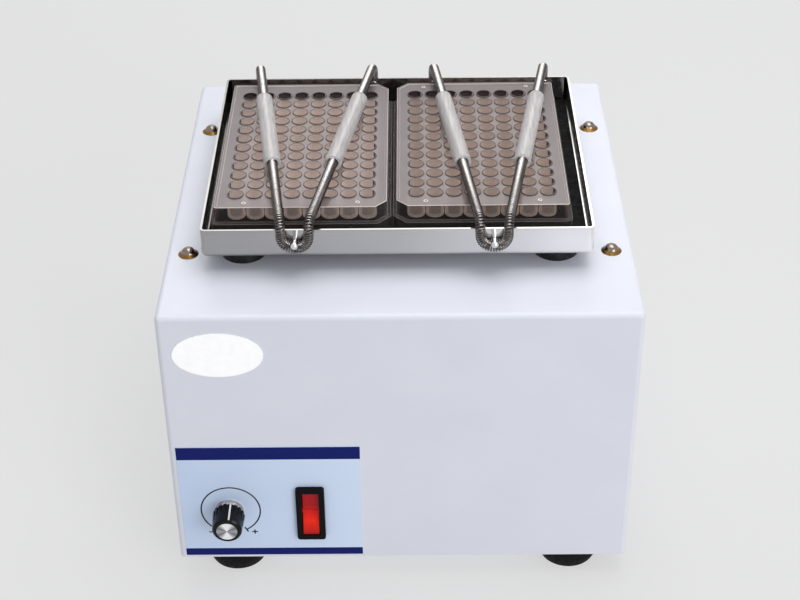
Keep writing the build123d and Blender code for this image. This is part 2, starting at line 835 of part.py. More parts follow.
# Tray: a folded steel pan with countersunk screws in its floor and peg holes in its walls
peg_places = [
    on_plane(Plane(origin=(0, tray_front_y, 0), x_dir=(1, 0, 0), z_dir=(0, -1, 0)), x, peg_z)
    for x in (left_clamp_peg_x, right_clamp_peg_x)
] + [
    on_plane(Plane(origin=(0, tray_rear_y, 0), x_dir=(-1, 0, 0), z_dir=(0, 1, 0)), -x, peg_z)
    for x in left_clamp_rear_x + right_clamp_rear_x
]
with BuildPart() as tray:
    with BuildSketch(Plane.XY.offset(tray_bottom)):
        with Locations((tray_x, 0)):
            Rectangle(tray_width, tray_depth)
    extrude(amount=tray_height)
    outer_edges = tray.edges().filter_by(Axis.Z) + tray.faces().sort_by(Axis.Z)[0].edges()
    fillet(outer_edges, tray_bend)
    with BuildSketch(Plane.XY.offset(tray_floor)):
        with Locations((tray_x, 0)):
            inner_width = tray_width - 2 * tray_sheet
            inner_depth = tray_depth - 2 * tray_sheet
            RectangleRounded(inner_width, inner_depth, tray_bend - tray_sheet)
    extrude(amount=tray_height, mode=Mode.SUBTRACT)
    with Locations((tray_x, 0, tray_floor)):
        with GridLocations(2 * mount_x, 2 * mount_y, 2, 2):
            CounterSinkHole(m4_radius, tray_m4_head, 2 * tray_sheet, 90)
        with PolarLocations(housing_screw_ring_radius, 4, first_screw_angle):
            CounterSinkHole(m3_radius, tray_m3_head, 2 * tray_sheet, 90)
    with Locations(*peg_places):
        Hole(peg_radius + thread_clearance, 2 * tray_sheet)
write_piece(tray, "tray")

mount_screw = sunk_screw(m4_radius, tray_sheet + mount_stud_length)
mount_screw_places = [Location((tray_x, 0, 0)) * place for place in corners(mount_x, mount_y, tray_floor)]
write_piece(copies(mount_screw, mount_screw_places), "mount_screws")

housing_screw = sunk_screw(m3_radius, tray_sheet + housing_flange)
with BuildPart() as housing_screws:
    with Locations((tray_x, 0, tray_floor)):
        with PolarLocations(housing_screw_ring_radius, 4, first_screw_angle):
            add(housing_screw)
write_piece(housing_screws, "housing_screws")

# Black rubber mat over the tray's floor
with BuildPart() as tray_mat:
    with BuildSketch(Plane.XY.offset(tray_floor)):
        with Locations((tray_x, 0)):
            RectangleRounded(inner_width - 2 * mat_gap, inner_depth - 2 * mat_gap, tray_bend - tray_sheet)
    extrude(amount=mat_thickness)
write_piece(tray_mat, "tray_mat")

# Pegs riveted through the tray's walls, with a ball head outside
neck_height = peg_length - math.sqrt(peg_head_radius**2 - peg_radius**2)
with BuildPart() as peg:
    with BuildSketch(Plane.XZ):
        with BuildLine():
            Polyline(
                (0, peg_length + peg_head_radius),
                (0, -tray_sheet - peg_rivet_height),
                (peg_rivet_radius, -tray_sheet - peg_rivet_height),
                (peg_rivet_radius, -tray_sheet),
                (peg_radius, -tray_sheet),
                (peg_radius, neck_height),
            )
            ball_top = (0, peg_length + peg_head_radius)
            ThreePointArc((peg_radius, neck_height), (peg_head_radius, peg_length), ball_top)
        make_face()
    revolve(axis=Axis.Z)
write_piece(copies(peg.part, peg_places), "clamp_pegs")


def microplate():
    """A 96-well plate about the middle of its footprint, its two cut corners towards +X."""
    deck_width = plate_width - 2 * plate_inset
    deck_length = plate_length - 2 * plate_inset
    deck_under = plate_height - plate_deck
    block_width = well_columns * well_spacing - 2 * running_clearance
    block_length = well_rows * well_spacing - 2 * running_clearance
    block_bottom = plate_height - well_depth - plate_wall
    with BuildPart() as plate:
        with BuildSketch():
            RectangleRounded(plate_width, plate_length, 2 * plate_inset)
        extrude(amount=plate_flange_height)
        with BuildSketch():
            with BuildSketch(mode=Mode.PRIVATE) as cut_deck:
                Rectangle(deck_width, deck_length)
                chamfer(cut_deck.vertices().group_by(Axis.X)[-1], plate_corner)
            add(cut_deck.sketch)
        extrude(amount=plate_height)
        with BuildSketch():
            with Locations((plate_width / 2, 0)):
                with GridLocations(0, plate_length - flange_notch, 1, 2):
                    Rectangle(2 * plate_inset, flange_notch)
        extrude(amount=plate_flange_height, mode=Mode.SUBTRACT)
        with BuildSketch():
            with BuildSketch(mode=Mode.PRIVATE) as inner_deck:
                Rectangle(deck_width - 2 * plate_wall, deck_length - 2 * plate_wall)
                chamfer(inner_deck.vertices().group_by(Axis.X)[-1], plate_corner)
            add(inner_deck.sketch)
        extrude(amount=deck_under, mode=Mode.SUBTRACT)
        with BuildSketch(Plane.XY.offset(block_bottom)):
            Rectangle(block_width, block_length)
        extrude(amount=deck_under - block_bottom)
        with BuildSketch(Plane.XY.offset(plate_height)):
            with GridLocations(well_spacing, well_spacing, well_columns, well_rows):
                RegularPolygon(well_radius, 8, rotation=22.5)
        extrude(amount=-well_depth, mode=Mode.SUBTRACT)
    return plate.part


plate = microplate()
write_piece(copies(plate, [Location((left_plate_x, left_plate_y, mat_top))]), "left_microplate")
turned_about = Location((right_plate_x, right_plate_y, mat_top), (0, 0, 180))
write_piece(copies(plate, [turned_about]), "right_microplate")


def clamp_spring(peg_x, rear_x):
    """A coil spring from one rear peg, over the plate, round the front peg and back again."""
    left_x, right_x = peg_x - loop_half_width, peg_x + loop_half_width
    with BuildPart() as spring:
        with BuildLine() as centre_line:
            FilletPolyline(
                (rear_x[0], clamp_rear_y, spring_end_z),
                (rear_x[0], clamp_rear_y, leg_z),
                (left_x, clamp_front_y, leg_z),
                (left_x, clamp_front_y, loop_z),
                (right_x, clamp_front_y, loop_z),
                (right_x, clamp_front_y, leg_z),
                (rear_x[1], clamp_rear_y, leg_z),
                (rear_x[1], clamp_rear_y, spring_end_z),
                radius=[clamp_bend_radius, clamp_bend_radius, loop_radius, loop_radius]
                + [clamp_bend_radius, clamp_bend_radius],
            )
        path = centre_line.wire()
        with BuildSketch(Plane(origin=path @ 0, z_dir=path % 0)):
            Circle(spring_radius)
        sweep(path=path)
        eye_radius = spring_end_z - peg_z + eye_wire / 2
        for x in rear_x:
            with BuildSketch(Plane.XZ.offset(-clamp_rear_y - eye_wire / 2)):
                with Locations((x, peg_z)):
                    Circle(eye_radius)
                    Circle(eye_radius - eye_wire, mode=Mode.SUBTRACT)
            extrude(amount=eye_wire)
    return spring


def clamp_sleeves(peg_x, rear_x):
    """The two silicone sleeves on a clamp's straight legs."""
    with BuildPart() as sleeves:
        for x, front_x in zip(rear_x, (peg_x - loop_half_width, peg_x + loop_half_width)):
            rear = Vector(x, clamp_rear_y, leg_z)
            along = Vector(front_x, clamp_front_y, leg_z) - rear
            start = rear + along * ((clamp_rear_y - sleeve_rear_y) / (clamp_rear_y - clamp_front_y))
            with BuildSketch(Plane(origin=start, z_dir=along)):
                Circle(sleeve_radius)
                Circle(sleeve_bore_radius, mode=Mode.SUBTRACT)
            extrude(amount=sleeve_length)
    return sleeves


for side, peg_x, rear_x in (
    ("left", left_clamp_peg_x, left_clamp_rear_x),
    ("right", right_clamp_peg_x, right_clamp_rear_x),
):
    write_piece(clamp_spring(peg_x, rear_x), f"{side}_clamp_spring")
    write_piece(clamp_sleeves(peg_x, rear_x), f"{side}_clamp_sleeves")

# Control label on the front
with BuildPart() as control_label:
    with BuildSketch(front_plane):
        with Locations((label_left + label_width / 2, label_bottom + label_height / 2)):
            Rectangle(label_width, label_height)
        with Locations((knob_x, knob_z)):
            Circle(pot_bush_radius + screw_clearance, mode=Mode.SUBTRACT)
        with Locations((switch_x, switch_z)):
            Rectangle(
                switch_body_width + 2 * seat_clearance,
                switch_body_height + 2 * seat_clearance,
                mode=Mode.SUBTRACT,
            )
    extrude(amount=label_thickness)
write_piece(control_label, "control_label")

# Potentiometer behind the panel, with its bush through it, its washer and its nut
with BuildPart() as potentiometer:
    with BuildSketch(front_plane.offset(-cover_sheet)):
        with Locations((knob_x, knob_z)):
            Circle(pot_body_radius)
            with Locations((0, -pot_body_radius)):
                Rectangle(pot_terminal_width, pot_terminal_height)
    extrude(amount=-pot_body_length)
    bush_reach = label_thickness + pot_washer_thickness + pot_nut_height
    with BuildSketch(front_plane.offset(-cover_sheet)):
        with Locations((knob_x, knob_z)):
            Circle(pot_bush_radius)
    extrude(amount=cover_sheet + bush_reach)
    with BuildSketch(front_plane.offset(bush_reach)):
        with Locations((knob_x, knob_z)):
            Circle(pot_shaft_radius + running_clearance)
    extrude(amount=-bush_reach - cover_sheet - pot_bush_radius, mode=Mode.SUBTRACT)
write_piece(potentiometer, "potentiometer")
with BuildPart() as pot_washer:
    with BuildSketch(front_plane.offset(label_thickness)):
        with Locations((knob_x, knob_z)):
            Circle(pot_washer_radius)
            Circle(pot_bush_radius + thread_clearance, mode=Mode.SUBTRACT)
    extrude(amount=pot_washer_thickness)
write_piece(pot_washer, "knob_washer")
pot_nut = hex_nut(pot_nut_flats, pot_nut_height, pot_bush_radius + thread_clearance)
nut_out = label_thickness + pot_washer_thickness
write_piece(copies(pot_nut, [on_plane(front_plane, knob_x, knob_z, nut_out)]), "knob_nut")

# Turning parts of the speed control: shaft, fluted knob, aluminium cap and white pointer line
knob_front = knob_back + knob_length
shaft_back = -cover_sheet - pot_bush_radius + running_clearance
knob_place = on_plane(front_plane, knob_x, knob_z)
shaft_front = knob_front - knob_cap_depth - knob_chamfer
pot_shaft = turned(
    [(0, shaft_back), (pot_shaft_radius, shaft_back), (pot_shaft_radius, shaft_front), (0, shaft_front)]
)
write_piece(copies(pot_shaft, [knob_place]), "knob_shaft")

with BuildPart() as knob_blank:
    with BuildSketch(Plane.XZ):
        with BuildLine():
            Polyline(
                (pot_shaft_radius + thread_clearance, knob_back),
                (knob_radius, knob_back),
                (knob_front_radius, knob_front - knob_chamfer),
                (knob_front_radius - knob_chamfer, knob_front),
                (knob_cap_radius, knob_front),
                (knob_cap_radius, knob_front - knob_cap_depth),
                (0, knob_front - knob_cap_depth),
                (0, shaft_front),
                (pot_shaft_radius + thread_clearance, shaft_front),
                close=True,
            )
        make_face()
    revolve(axis=Axis.Z)
    with BuildSketch(Plane.XY.offset(knob_back)):
        with PolarLocations(knob_radius, knob_flutes, 90 + 180 / knob_flutes):
            Rectangle(knob_flute_width, knob_flute_width)
    extrude(amount=knob_length - 2 * knob_chamfer, mode=Mode.SUBTRACT)
    with BuildSketch(Plane.XY.offset(knob_back)):
        with Locations((0, knob_radius)):
            Rectangle(pointer_width, 2 * (knob_radius - knob_front_radius + pointer_depth))
    extrude(amount=knob_length, mode=Mode.SUBTRACT)
knob_turn = knob_place * Location((0, 0, 0), (0, 0, -pointer_angle))
write_piece(copies(knob_blank.part, [knob_turn]), "speed_knob")

cap_bottom = knob_front - knob_cap_depth
cap = turned(
    [
        (0, cap_bottom),
        (knob_cap_radius - thread_clearance, cap_bottom),
        (knob_cap_radius - thread_clearance, knob_front + knob_cap_proud),
        (0, knob_front + knob_cap_proud),
    ]
)
write_piece(copies(cap, [knob_turn]), "knob_cap")

with BuildPart() as pointer:
    with BuildSketch(Plane.YZ):
        with BuildLine():
            Polyline(
                (knob_front_radius - pointer_depth, knob_back),
                (knob_radius, knob_back),
                (knob_front_radius, knob_front - knob_chamfer),
                (knob_front_radius - pointer_depth, knob_front - knob_chamfer),
                close=True,
            )
        make_face()
    extrude(amount=pointer_width / 2 - thread_clearance, both=True)
write_piece(copies(pointer.part, [knob_turn]), "knob_pointer")

# Rocker switch: housing with a bezel, a pocket for the rocker and three tags behind
pocket_half_height = rocker_half_height + rocker_gap
tilt_drop = rocker_half_height * math.sin(math.radians(rocker_tilt))
pocket_depth = rocker_pivot_depth + rocker_under + tilt_drop + seat_clearance
switch_place = on_plane(front_plane, switch_x, switch_z)
bezel_front = label_thickness + bezel_thickness
with BuildPart() as switch_housing:
    with BuildSketch(front_plane.offset(label_thickness)):
        with Locations((switch_x, switch_z)):
            RectangleRounded(bezel_width, bezel_height, bezel_corner)
    extrude(amount=bezel_thickness)
    with BuildSketch(front_plane.offset(label_thickness)):
        with Locations((switch_x, switch_z)):
            Rectangle(switch_body_width, switch_body_height)
    extrude(amount=-switch_body_depth)
    with BuildSketch(front_plane.offset(bezel_front)):
        with Locations((switch_x, switch_z)):
            Rectangle(rocker_width + 2 * rocker_gap, 2 * pocket_half_height)
    extrude(amount=-pocket_depth, mode=Mode.SUBTRACT)
    with BuildSketch(Plane.YZ.offset(switch_x)):
        with Locations((front_y - bezel_front + rocker_pivot_depth, switch_z)):
            Circle(rocker_pin_radius + running_clearance)
    pin_half_length = rocker_width / 2 + rocker_gap + rocker_pin_reach
    extrude(amount=pin_half_length + running_clearance, both=True, mode=Mode.SUBTRACT)
    with BuildSketch(front_plane.offset(label_thickness - switch_body_depth)):
        with Locations((switch_x, switch_z)):
            with GridLocations(0, switch_tag_spacing, 1, 3):
                Rectangle(switch_tag_width, switch_tag_thickness)
    extrude(amount=-switch_tag_length)
write_piece(switch_housing, "switch_housing")

# Rocker: a shallow V seen from the side, its ends round about the pins it tilts on
end_reach = math.sqrt(rocker_half_height**2 - rocker_rise**2)
low_reach = math.sqrt(rocker_half_height**2 - rocker_under**2)
with BuildPart() as rocker:
    with BuildSketch(Plane.YZ):
        with BuildLine():
            Polyline((-end_reach, rocker_rise), (0, rocker_dip), (end_reach, rocker_rise))
            ThreePointArc((end_reach, rocker_rise), (rocker_half_height, 0), (low_reach, -rocker_under))
            Line((low_reach, -rocker_under), (-low_reach, -rocker_under))
            ThreePointArc(
                (-low_reach, -rocker_under), (-rocker_half_height, 0), (-end_reach, rocker_rise)
            )
        make_face()
    extrude(amount=rocker_width / 2, both=True)
    with BuildSketch(Plane.YZ):
        Circle(rocker_pin_radius)
    extrude(amount=pin_half_length, both=True)
rocker_pivot = switch_place * Location((0, 0, bezel_front - rocker_pivot_depth), (-rocker_tilt, 0, 0))
write_piece(copies(rocker.part, [rocker_pivot]), "rocker")

# Mains inlet on the rear: flange, body, keyed socket and three flat pins
inlet_place = (-inlet_x, inlet_z)
with BuildPart() as mains_inlet:
    with BuildSketch(rear_plane):
        with Locations(inlet_place):
            RectangleRounded(inlet_flange_width, inlet_flange_height, inlet_corner)
    extrude(amount=inlet_flange)
    with BuildSketch(rear_plane):
        with Locations(inlet_place):
            Rectangle(inlet_body_width, inlet_body_height)
    extrude(amount=-inlet_body_depth)
    with BuildSketch(rear_plane.offset(inlet_flange)):
        with BuildSketch(mode=Mode.PRIVATE) as socket:
            Rectangle(inlet_socket_width, inlet_socket_height)
            chamfer(socket.vertices().group_by(Axis.Y)[-1], inlet_socket_chamfer)
        with Locations(inlet_place):
            add(socket.sketch)
    extrude(amount=-inlet_socket_depth, mode=Mode.SUBTRACT)
    with BuildSketch(rear_plane.offset(inlet_flange)):
        with Locations(inlet_place):
            with GridLocations(inlet_screw_spacing, 0, 2, 1):
                Circle(m3_radius + screw_clearance)
    extrude(amount=-inlet_flange, mode=Mode.SUBTRACT)
write_piece(mains_inlet, "mains_inlet")

socket_floor = inlet_flange - inlet_socket_depth
with BuildPart() as inlet_pins:
    with BuildSketch(rear_plane.offset(socket_floor)):
        with Locations(inlet_place):
            with Locations((0, pin_rise), (-pin_spread, -pin_rise), (pin_spread, -pin_rise)):
                Rectangle(pin_width, pin_height)
    extrude(amount=pin_length)
write_piece(inlet_pins, "inlet_pins")

inlet_screw_length = inlet_flange + cover_sheet + m3_nut_height + thread_end
inlet_screw = domed_screw(m3_head_radius, m3_head_height, m3_radius, inlet_screw_length)
inlet_nut = hex_nut(m3_nut_flats, m3_nut_height, m3_radius + thread_clearance)
screw_ends = [inlet_place[0] + side * inlet_screw_spacing / 2 for side in (-1, 1)]
inlet_screw_places = [on_plane(rear_plane, x, inlet_z, inlet_flange) for x in screw_ends]
inlet_nut_places = [on_plane(rear_plane, x, inlet_z, -cover_sheet - m3_nut_height) for x in screw_ends]
write_piece(copies(inlet_screw, inlet_screw_places), "inlet_screws")
write_piece(copies(inlet_nut, inlet_nut_places), "inlet_nuts")

# Fuse holder and its screw cap, held by a nut inside
fuse_place = on_plane(rear_plane, -fuse_x, fuse_z)
fuse_holder = turned(
    [
        (0, -fuse_body_length),
        (fuse_body_radius, -fuse_body_length),
        (fuse_body_radius, 0),
        (fuse_flange_radius, 0),
        (fuse_flange_radius, fuse_flange),
        (0, fuse_flange),
    ]
)
write_piece(copies(fuse_holder, [fuse_place]), "fuse_holder")
with BuildPart() as fuse_cap:
    with BuildSketch(Plane.XY.offset(fuse_flange)):
        Circle(fuse_cap_radius)
    extrude(amount=fuse_cap_length)
    chamfer(fuse_cap.faces().sort_by(Axis.Z)[-1].edges(), fuse_cap_chamfer)
    with BuildSketch(Plane.XY.offset(fuse_flange + fuse_cap_length)):
        Rectangle(2 * fuse_cap_radius, fuse_slot_width)
    extrude(amount=-fuse_slot_depth, mode=Mode.SUBTRACT)
write_piece(copies(fuse_cap.part, [fuse_place]), "fuse_cap")
fuse_nut = hex_nut(fuse_nut_flats, fuse_nut_height, fuse_body_radius + thread_clearance)
fuse_nut_place = on_plane(rear_plane, -fuse_x, fuse_z, -cover_sheet - fuse_nut_height)
write_piece(copies(fuse_nut, [fuse_nut_place]), "fuse_nut")

# Speed control board on four standoffs
board_bottom = base_top + board_standoff_height
hole_x = board_width - 2 * board_hole_inset
hole_y = board_depth - 2 * board_hole_inset
with BuildPart() as board_standoffs:
    with BuildSketch(Plane.XY.offset(base_top)):
        with Locations((board_x, board_y)):
            with GridLocations(hole_x, hole_y, 2, 2):
                RegularPolygon(board_standoff_radius, 6)
    extrude(amount=board_standoff_height)
write_piece(board_standoffs, "board_standoffs")
with BuildPart() as circuit_board:
    with BuildSketch(Plane.XY.offset(board_bottom)):
        with Locations((board_x, board_y)):
            Rectangle(board_width, board_depth)
    extrude(amount=board_thickness)
write_piece(circuit_board, "circuit_board")
board_top = board_bottom + board_thickness
with BuildPart() as board_parts:
    with BuildSketch(Plane.XY.offset(board_top)):
        with Locations((board_x, board_y + heat_sink_y)):
            Rectangle(heat_sink_width, heat_sink_plate)
        with Locations((board_x, board_y + heat_sink_y + (heat_sink_plate + fin_length) / 2)):
            with GridLocations(fin_spacing, 0, fin_count, 1):
                Rectangle(fin_thickness, fin_length)
    extrude(amount=heat_sink_height)
    with BuildSketch(Plane.XY.offset(board_top)):
        with Locations((board_x, board_y + capacitor_y)):
            with GridLocations(2 * capacitor_x, 0, 2, 1):
                Circle(capacitor_radius)
    extrude(amount=capacitor_height)
    with BuildSketch(Plane.XY.offset(board_top)):
        with Locations((board_x, board_y + terminal_y)):
            Rectangle(terminal_width, terminal_depth)
    extrude(amount=terminal_height)
write_piece(board_parts, "board_parts")

# Transformer: laminated core round a coil, standing on the base plate
window_width = (core_width - 2 * core_limb - core_middle) / 2
window_x = (core_middle + window_width) / 2
with BuildPart() as transformer_core:
    with BuildSketch(Plane.XZ.offset(-transformer_y - core_depth / 2)):
        with Locations((transformer_x, base_top + core_height / 2)):
            Rectangle(core_width, core_height)
            with GridLocations(2 * window_x, 0, 2, 1):
                Rectangle(window_width, core_height - 2 * core_limb, mode=Mode.SUBTRACT)
    extrude(amount=core_depth)
write_piece(transformer_core, "transformer_core")
with BuildPart() as transformer_coil:
    with BuildSketch(Plane.XY.offset(base_top + core_limb + seat_clearance)):
        with Locations((transformer_x, transformer_y)):
            Rectangle(core_middle + 2 * window_width - 2 * seat_clearance, coil_depth)
            hole_width = core_middle + 2 * thread_clearance
            hole_depth = core_depth + 2 * thread_clearance
            Rectangle(hole_width, hole_depth, mode=Mode.SUBTRACT)
    extrude(amount=core_height - 2 * core_limb - 2 * seat_clearance)
write_piece(transformer_coil, "transformer_coil")
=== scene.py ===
# %% [markdown]
# # A microplate shaker
# The real object is a bench shaker: a powder-coated steel cabinet, and a steel tray above it that
# holds two 96-well plates under spring clamps. The CAD model gives every piece its size and place.
# This script loads it as the frame, gives each piece a material, and models what is too fine for
# CAD: wound springs, moulded well plates and printed ink. All lengths are in metres.

# %%
import math

import bpy
from mathutils import Matrix, Vector


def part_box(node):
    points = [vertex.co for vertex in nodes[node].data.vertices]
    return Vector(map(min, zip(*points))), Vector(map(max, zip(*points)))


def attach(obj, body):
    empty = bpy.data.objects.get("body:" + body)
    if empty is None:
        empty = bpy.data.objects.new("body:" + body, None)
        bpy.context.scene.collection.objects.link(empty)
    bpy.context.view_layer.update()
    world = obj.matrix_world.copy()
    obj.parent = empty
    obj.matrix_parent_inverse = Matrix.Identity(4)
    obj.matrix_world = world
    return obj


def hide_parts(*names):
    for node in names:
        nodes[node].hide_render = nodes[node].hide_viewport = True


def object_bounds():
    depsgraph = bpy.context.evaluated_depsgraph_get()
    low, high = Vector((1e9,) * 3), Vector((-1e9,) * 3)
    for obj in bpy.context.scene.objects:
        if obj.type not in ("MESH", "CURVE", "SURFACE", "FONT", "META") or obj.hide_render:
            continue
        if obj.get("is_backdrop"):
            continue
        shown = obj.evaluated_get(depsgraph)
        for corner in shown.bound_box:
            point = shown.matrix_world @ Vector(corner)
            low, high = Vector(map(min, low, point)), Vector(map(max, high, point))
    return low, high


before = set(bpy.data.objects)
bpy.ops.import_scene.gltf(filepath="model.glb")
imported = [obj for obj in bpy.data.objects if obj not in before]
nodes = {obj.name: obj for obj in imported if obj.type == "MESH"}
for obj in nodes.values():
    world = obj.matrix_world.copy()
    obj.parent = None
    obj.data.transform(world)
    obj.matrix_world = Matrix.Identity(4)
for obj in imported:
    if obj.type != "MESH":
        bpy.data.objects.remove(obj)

scene = bpy.context.scene
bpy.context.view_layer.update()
mm = 0.001
casing_low, casing_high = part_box("casing")
middle_y = (casing_low.y + casing_high.y) / 2
front_y = casing_low.y
print(len(nodes), "CAD nodes; the cabinet is", round((casing_high.x - casing_low.x) / mm, 1), "mm wide")

# %% [markdown]
# ## The camera
# A photograph's perspective tells where its lens was. A camera could be placed by eye, but here it
# was fitted to the cabinet's corners, so that the render can be laid over the photograph. It stands
# in front, looks 35 degrees down at the bench, and has a lens of 75.8 mm for film 36 mm wide.

# %%
camera = bpy.data.objects.new("camera", bpy.data.cameras.new("camera"))
scene.collection.objects.link(camera)
camera.data.sensor_fit = "HORIZONTAL"
film_width, focal_length = 36.0, 75.8
camera.data.sensor_width, camera.data.lens = film_width, focal_length
camera.data.clip_start = 0.01
yaw, pitch, roll = math.radians(-0.53), math.radians(34.83), math.radians(-0.77)
forward = Vector((math.sin(yaw) * math.cos(pitch), math.cos(yaw) * math.cos(pitch), -math.sin(pitch)))
level = Vector((math.cos(yaw), -math.sin(yaw), 0))
above = level.cross(forward)
right = math.cos(roll) * level + math.sin(roll) * above
up = math.cos(roll) * above - math.sin(roll) * level
stand = Vector((6.06, -733.44, 599.77)) * mm + Vector((0, middle_y, 0))
turn = Matrix((right, up, -forward)).transposed()
camera.matrix_world = Matrix.Translation(stand) @ turn.to_4x4()
scene.camera = camera
scene.view_settings.view_transform = "Standard"
print("camera looks down", round(math.degrees(pitch), 1), "degrees")

# %% [markdown]
# ## Shader nodes
# A material in Blender is a tree of nodes. Each could be made with several lines, so one small
# function adds a node with its settings and its links. Colours are picked as sRGB hex codes, as on
# a screen, but nodes work with linear light, so one function turns the one into the other.


# %%
def colour(code):
    """A hex sRGB code as linear red, green, blue and alpha."""
    shares = [int(code[i : i + 2], 16) / 255 for i in (0, 2, 4)]
    return tuple(s / 12.92 if s <= 0.04045 else ((s + 0.055) / 1.055) ** 2.4 for s in shares) + (1.0,)


def add_node(tree, kind, settings=None, inputs=None):
    """Add a node. Inputs that are sockets are linked, and others are set."""
    node = tree.nodes.new(kind)
    for name, value in (settings or {}).items():
        setattr(node, name, value)
    for name, value in (inputs or {}).items():
        if isinstance(value, bpy.types.NodeSocket):
            tree.links.new(value, node.inputs[name])
        else:
            node.inputs[name].default_value = value
    return node


def start_material(name):
    """An empty material and its node tree."""
    material = bpy.data.materials.new(name)
    material.use_nodes = True
    material.node_tree.nodes.clear()
    return material, material.node_tree


def finish_material(tree, **inputs):
    """Close a tree with one principled shader, whose inputs are named with underscores for spaces."""
    settings = {name.replace("_", " "): value for name, value in inputs.items()}
    shader = add_node(tree, "ShaderNodeBsdfPrincipled", inputs=settings)
    add_node(tree, "ShaderNodeOutputMaterial", inputs={"Surface": shader.outputs["BSDF"]})
    return shader


print("mid grey 808080 in linear light:", round(colour("808080")[0], 3))

# %% [markdown]
# ## Patterns
# No real surface is one flat colour. Noise in three dimensions could be painted on with image
# textures, but noise that is worked out from a point's place needs no unwrapping and runs through a
# piece like grain through wood. Its size is given in millimetres, as it would be measured on the
# object.


# %%
def noise(tree, size, detail=2.0, stretch=(1, 1, 1)):
    """Noise whose spots are about size metres wide, longer along an axis whose stretch is above 1."""
    place = add_node(tree, "ShaderNodeTexCoord").outputs["Object"]
    scale = tuple(1 / s for s in stretch)
    place = add_node(tree, "ShaderNodeMapping", inputs={"Vector": place, "Scale": scale}).outputs["Vector"]
    return add_node(
        tree, "ShaderNodeTexNoise", inputs={"Vector": place, "Scale": 1 / size, "Detail": detail}
    ).outputs["Fac"]


def spread(tree, value, low, high):
    """Stretch a value that lies mostly between 0.3 and 0.7 to the range from low to high."""
    limits = {"From Min": 0.3, "From Max": 0.7, "To Min": low, "To Max": high}
    return add_node(tree, "ShaderNodeMapRange", inputs={"Value": value, **limits}).outputs["Result"]


def blend_colours(tree, factor, first, second):
    """Mix two colours by a factor."""
    node = add_node(tree, "ShaderNodeMix", {"data_type": "RGBA"}, {0: factor, 6: first, 7: second})
    return node.outputs[2]


def bump(tree, height, depth, strength=1.0):
    """A surface normal from a height between 0 and 1 that stands for depth metres."""
    return add_node(
        tree, "ShaderNodeBump", inputs={"Height": height, "Distance": depth, "Strength": strength}
    ).outputs["Normal"]


print("patterns ready")


# %%
def height_share(tree, low, high, axis="Z"):
    """0 at low and 1 at high along one axis of the object."""
    place = add_node(tree, "ShaderNodeTexCoord").outputs["Object"]
    parts = add_node(tree, "ShaderNodeSeparateXYZ", inputs={"Vector": place})
    return add_node(
        tree, "ShaderNodeMapRange", inputs={"Value": parts.outputs[axis], "From Min": low, "From Max": high}
    ).outputs["Result"]


def ramp(tree, factor, stops):
    """A colour ramp with stops given as (place, hex code)."""
    node = add_node(tree, "ShaderNodeValToRGB", inputs={"Fac": factor})
    elements = node.color_ramp.elements
    for element, (place, code) in zip((elements[0], elements[1]), (stops[0], stops[-1])):
        element.position, element.color = place, colour(code)
    for place, code in stops[1:-1]:
        elements.new(place).color = colour(code)
    return node.outputs["Color"]


print("gradients ready")

# %% [markdown]
# ## Painted and plated metal
# The cabinet is mild steel with a powder coat: dry paint that is sprayed on and baked, and flows
# into a soft orange peel. A mesh could be given that peel, but it is 0.02 mm deep, so a bump does
# it. Plating has faint cloudy spots. All metals keep the shader's own IOR, because a metal's colour
# already says how it mirrors.


# %%
def powder_coat(name, tint, shade):
    """Semi-gloss powder coat with an orange peel about 1 mm wide."""
    material, tree = start_material(name)
    base = blend_colours(tree, noise(tree, 30 * mm, 3), colour(tint), colour(shade))
    peel = bump(tree, noise(tree, 1.1 * mm, 3), 0.02 * mm, 0.5)
    finish_material(
        tree, Base_Color=base, Roughness=spread(tree, noise(tree, 4 * mm), 0.34, 0.46), Normal=peel,
        Specular_IOR_Level=0.5,
    )
    return material


print("powder coat ready")


# %%
def metal(name, tint, shade, rough, spot=3 * mm, stretch=(1, 1, 1), depth=0.004 * mm):
    """A metal whose colour and roughness vary a little, with lines where its spots are stretched."""
    material, tree = start_material(name)
    spots = noise(tree, spot, 3, stretch)
    base = blend_colours(tree, spots, colour(tint), colour(shade))
    finish_material(
        tree, Base_Color=base, Metallic=1.0, Roughness=spread(tree, spots, rough * 0.8, rough * 1.25),
        Normal=bump(tree, spots, depth, 0.4),
    )
    return material


print("plating ready")

# %% [markdown]
# ## Rolled sheet and drawn wire
# The tray is satin stainless sheet, type 304: rolling leaves fine lines along it, too fine to show,
# so they are drawn 0.25 mm apart. The real tray's front lightens to the right, as it mirrors the
# room. A whole room could be modelled for that, but a painted reflection is simpler: a tint that
# lightens the same way, in cloudy bands. The clamps' wire is drawn and bright: its colour has a
# painted highlight where it faces up, and painted shade down the sides of the winding.


# %%
def sheet_steel(name, low, high):
    """Satin rolled sheet with fine lines along it, and a painted reflection: a tint that lightens to the
    right in cloudy bands.
    """
    material, tree = start_material(name)
    lines = noise(tree, 0.25 * mm, 3, (80, 80, 1))
    # Painted reflection: broad cloudy bands of darker tint.
    broad = spread(tree, noise(tree, 45 * mm, 1), 0.0, 0.4)
    # Painted reflection: the tint lightens to the right, as the sheet mirrors the room.
    stops = [(0.0, "A09E9C"), (0.5, "BEBCBA"), (1.0, "FAF8F6")]
    painted_light_across = ramp(tree, height_share(tree, low, high, "X"), stops)
    base = blend_colours(tree, broad, painted_light_across, colour("B4B2B0"))
    finish_material(
        tree, Base_Color=base, Metallic=1.0, Roughness=spread(tree, lines, 0.12, 0.2),
        Normal=bump(tree, lines, 0.003 * mm, 0.35),
    )
    return material


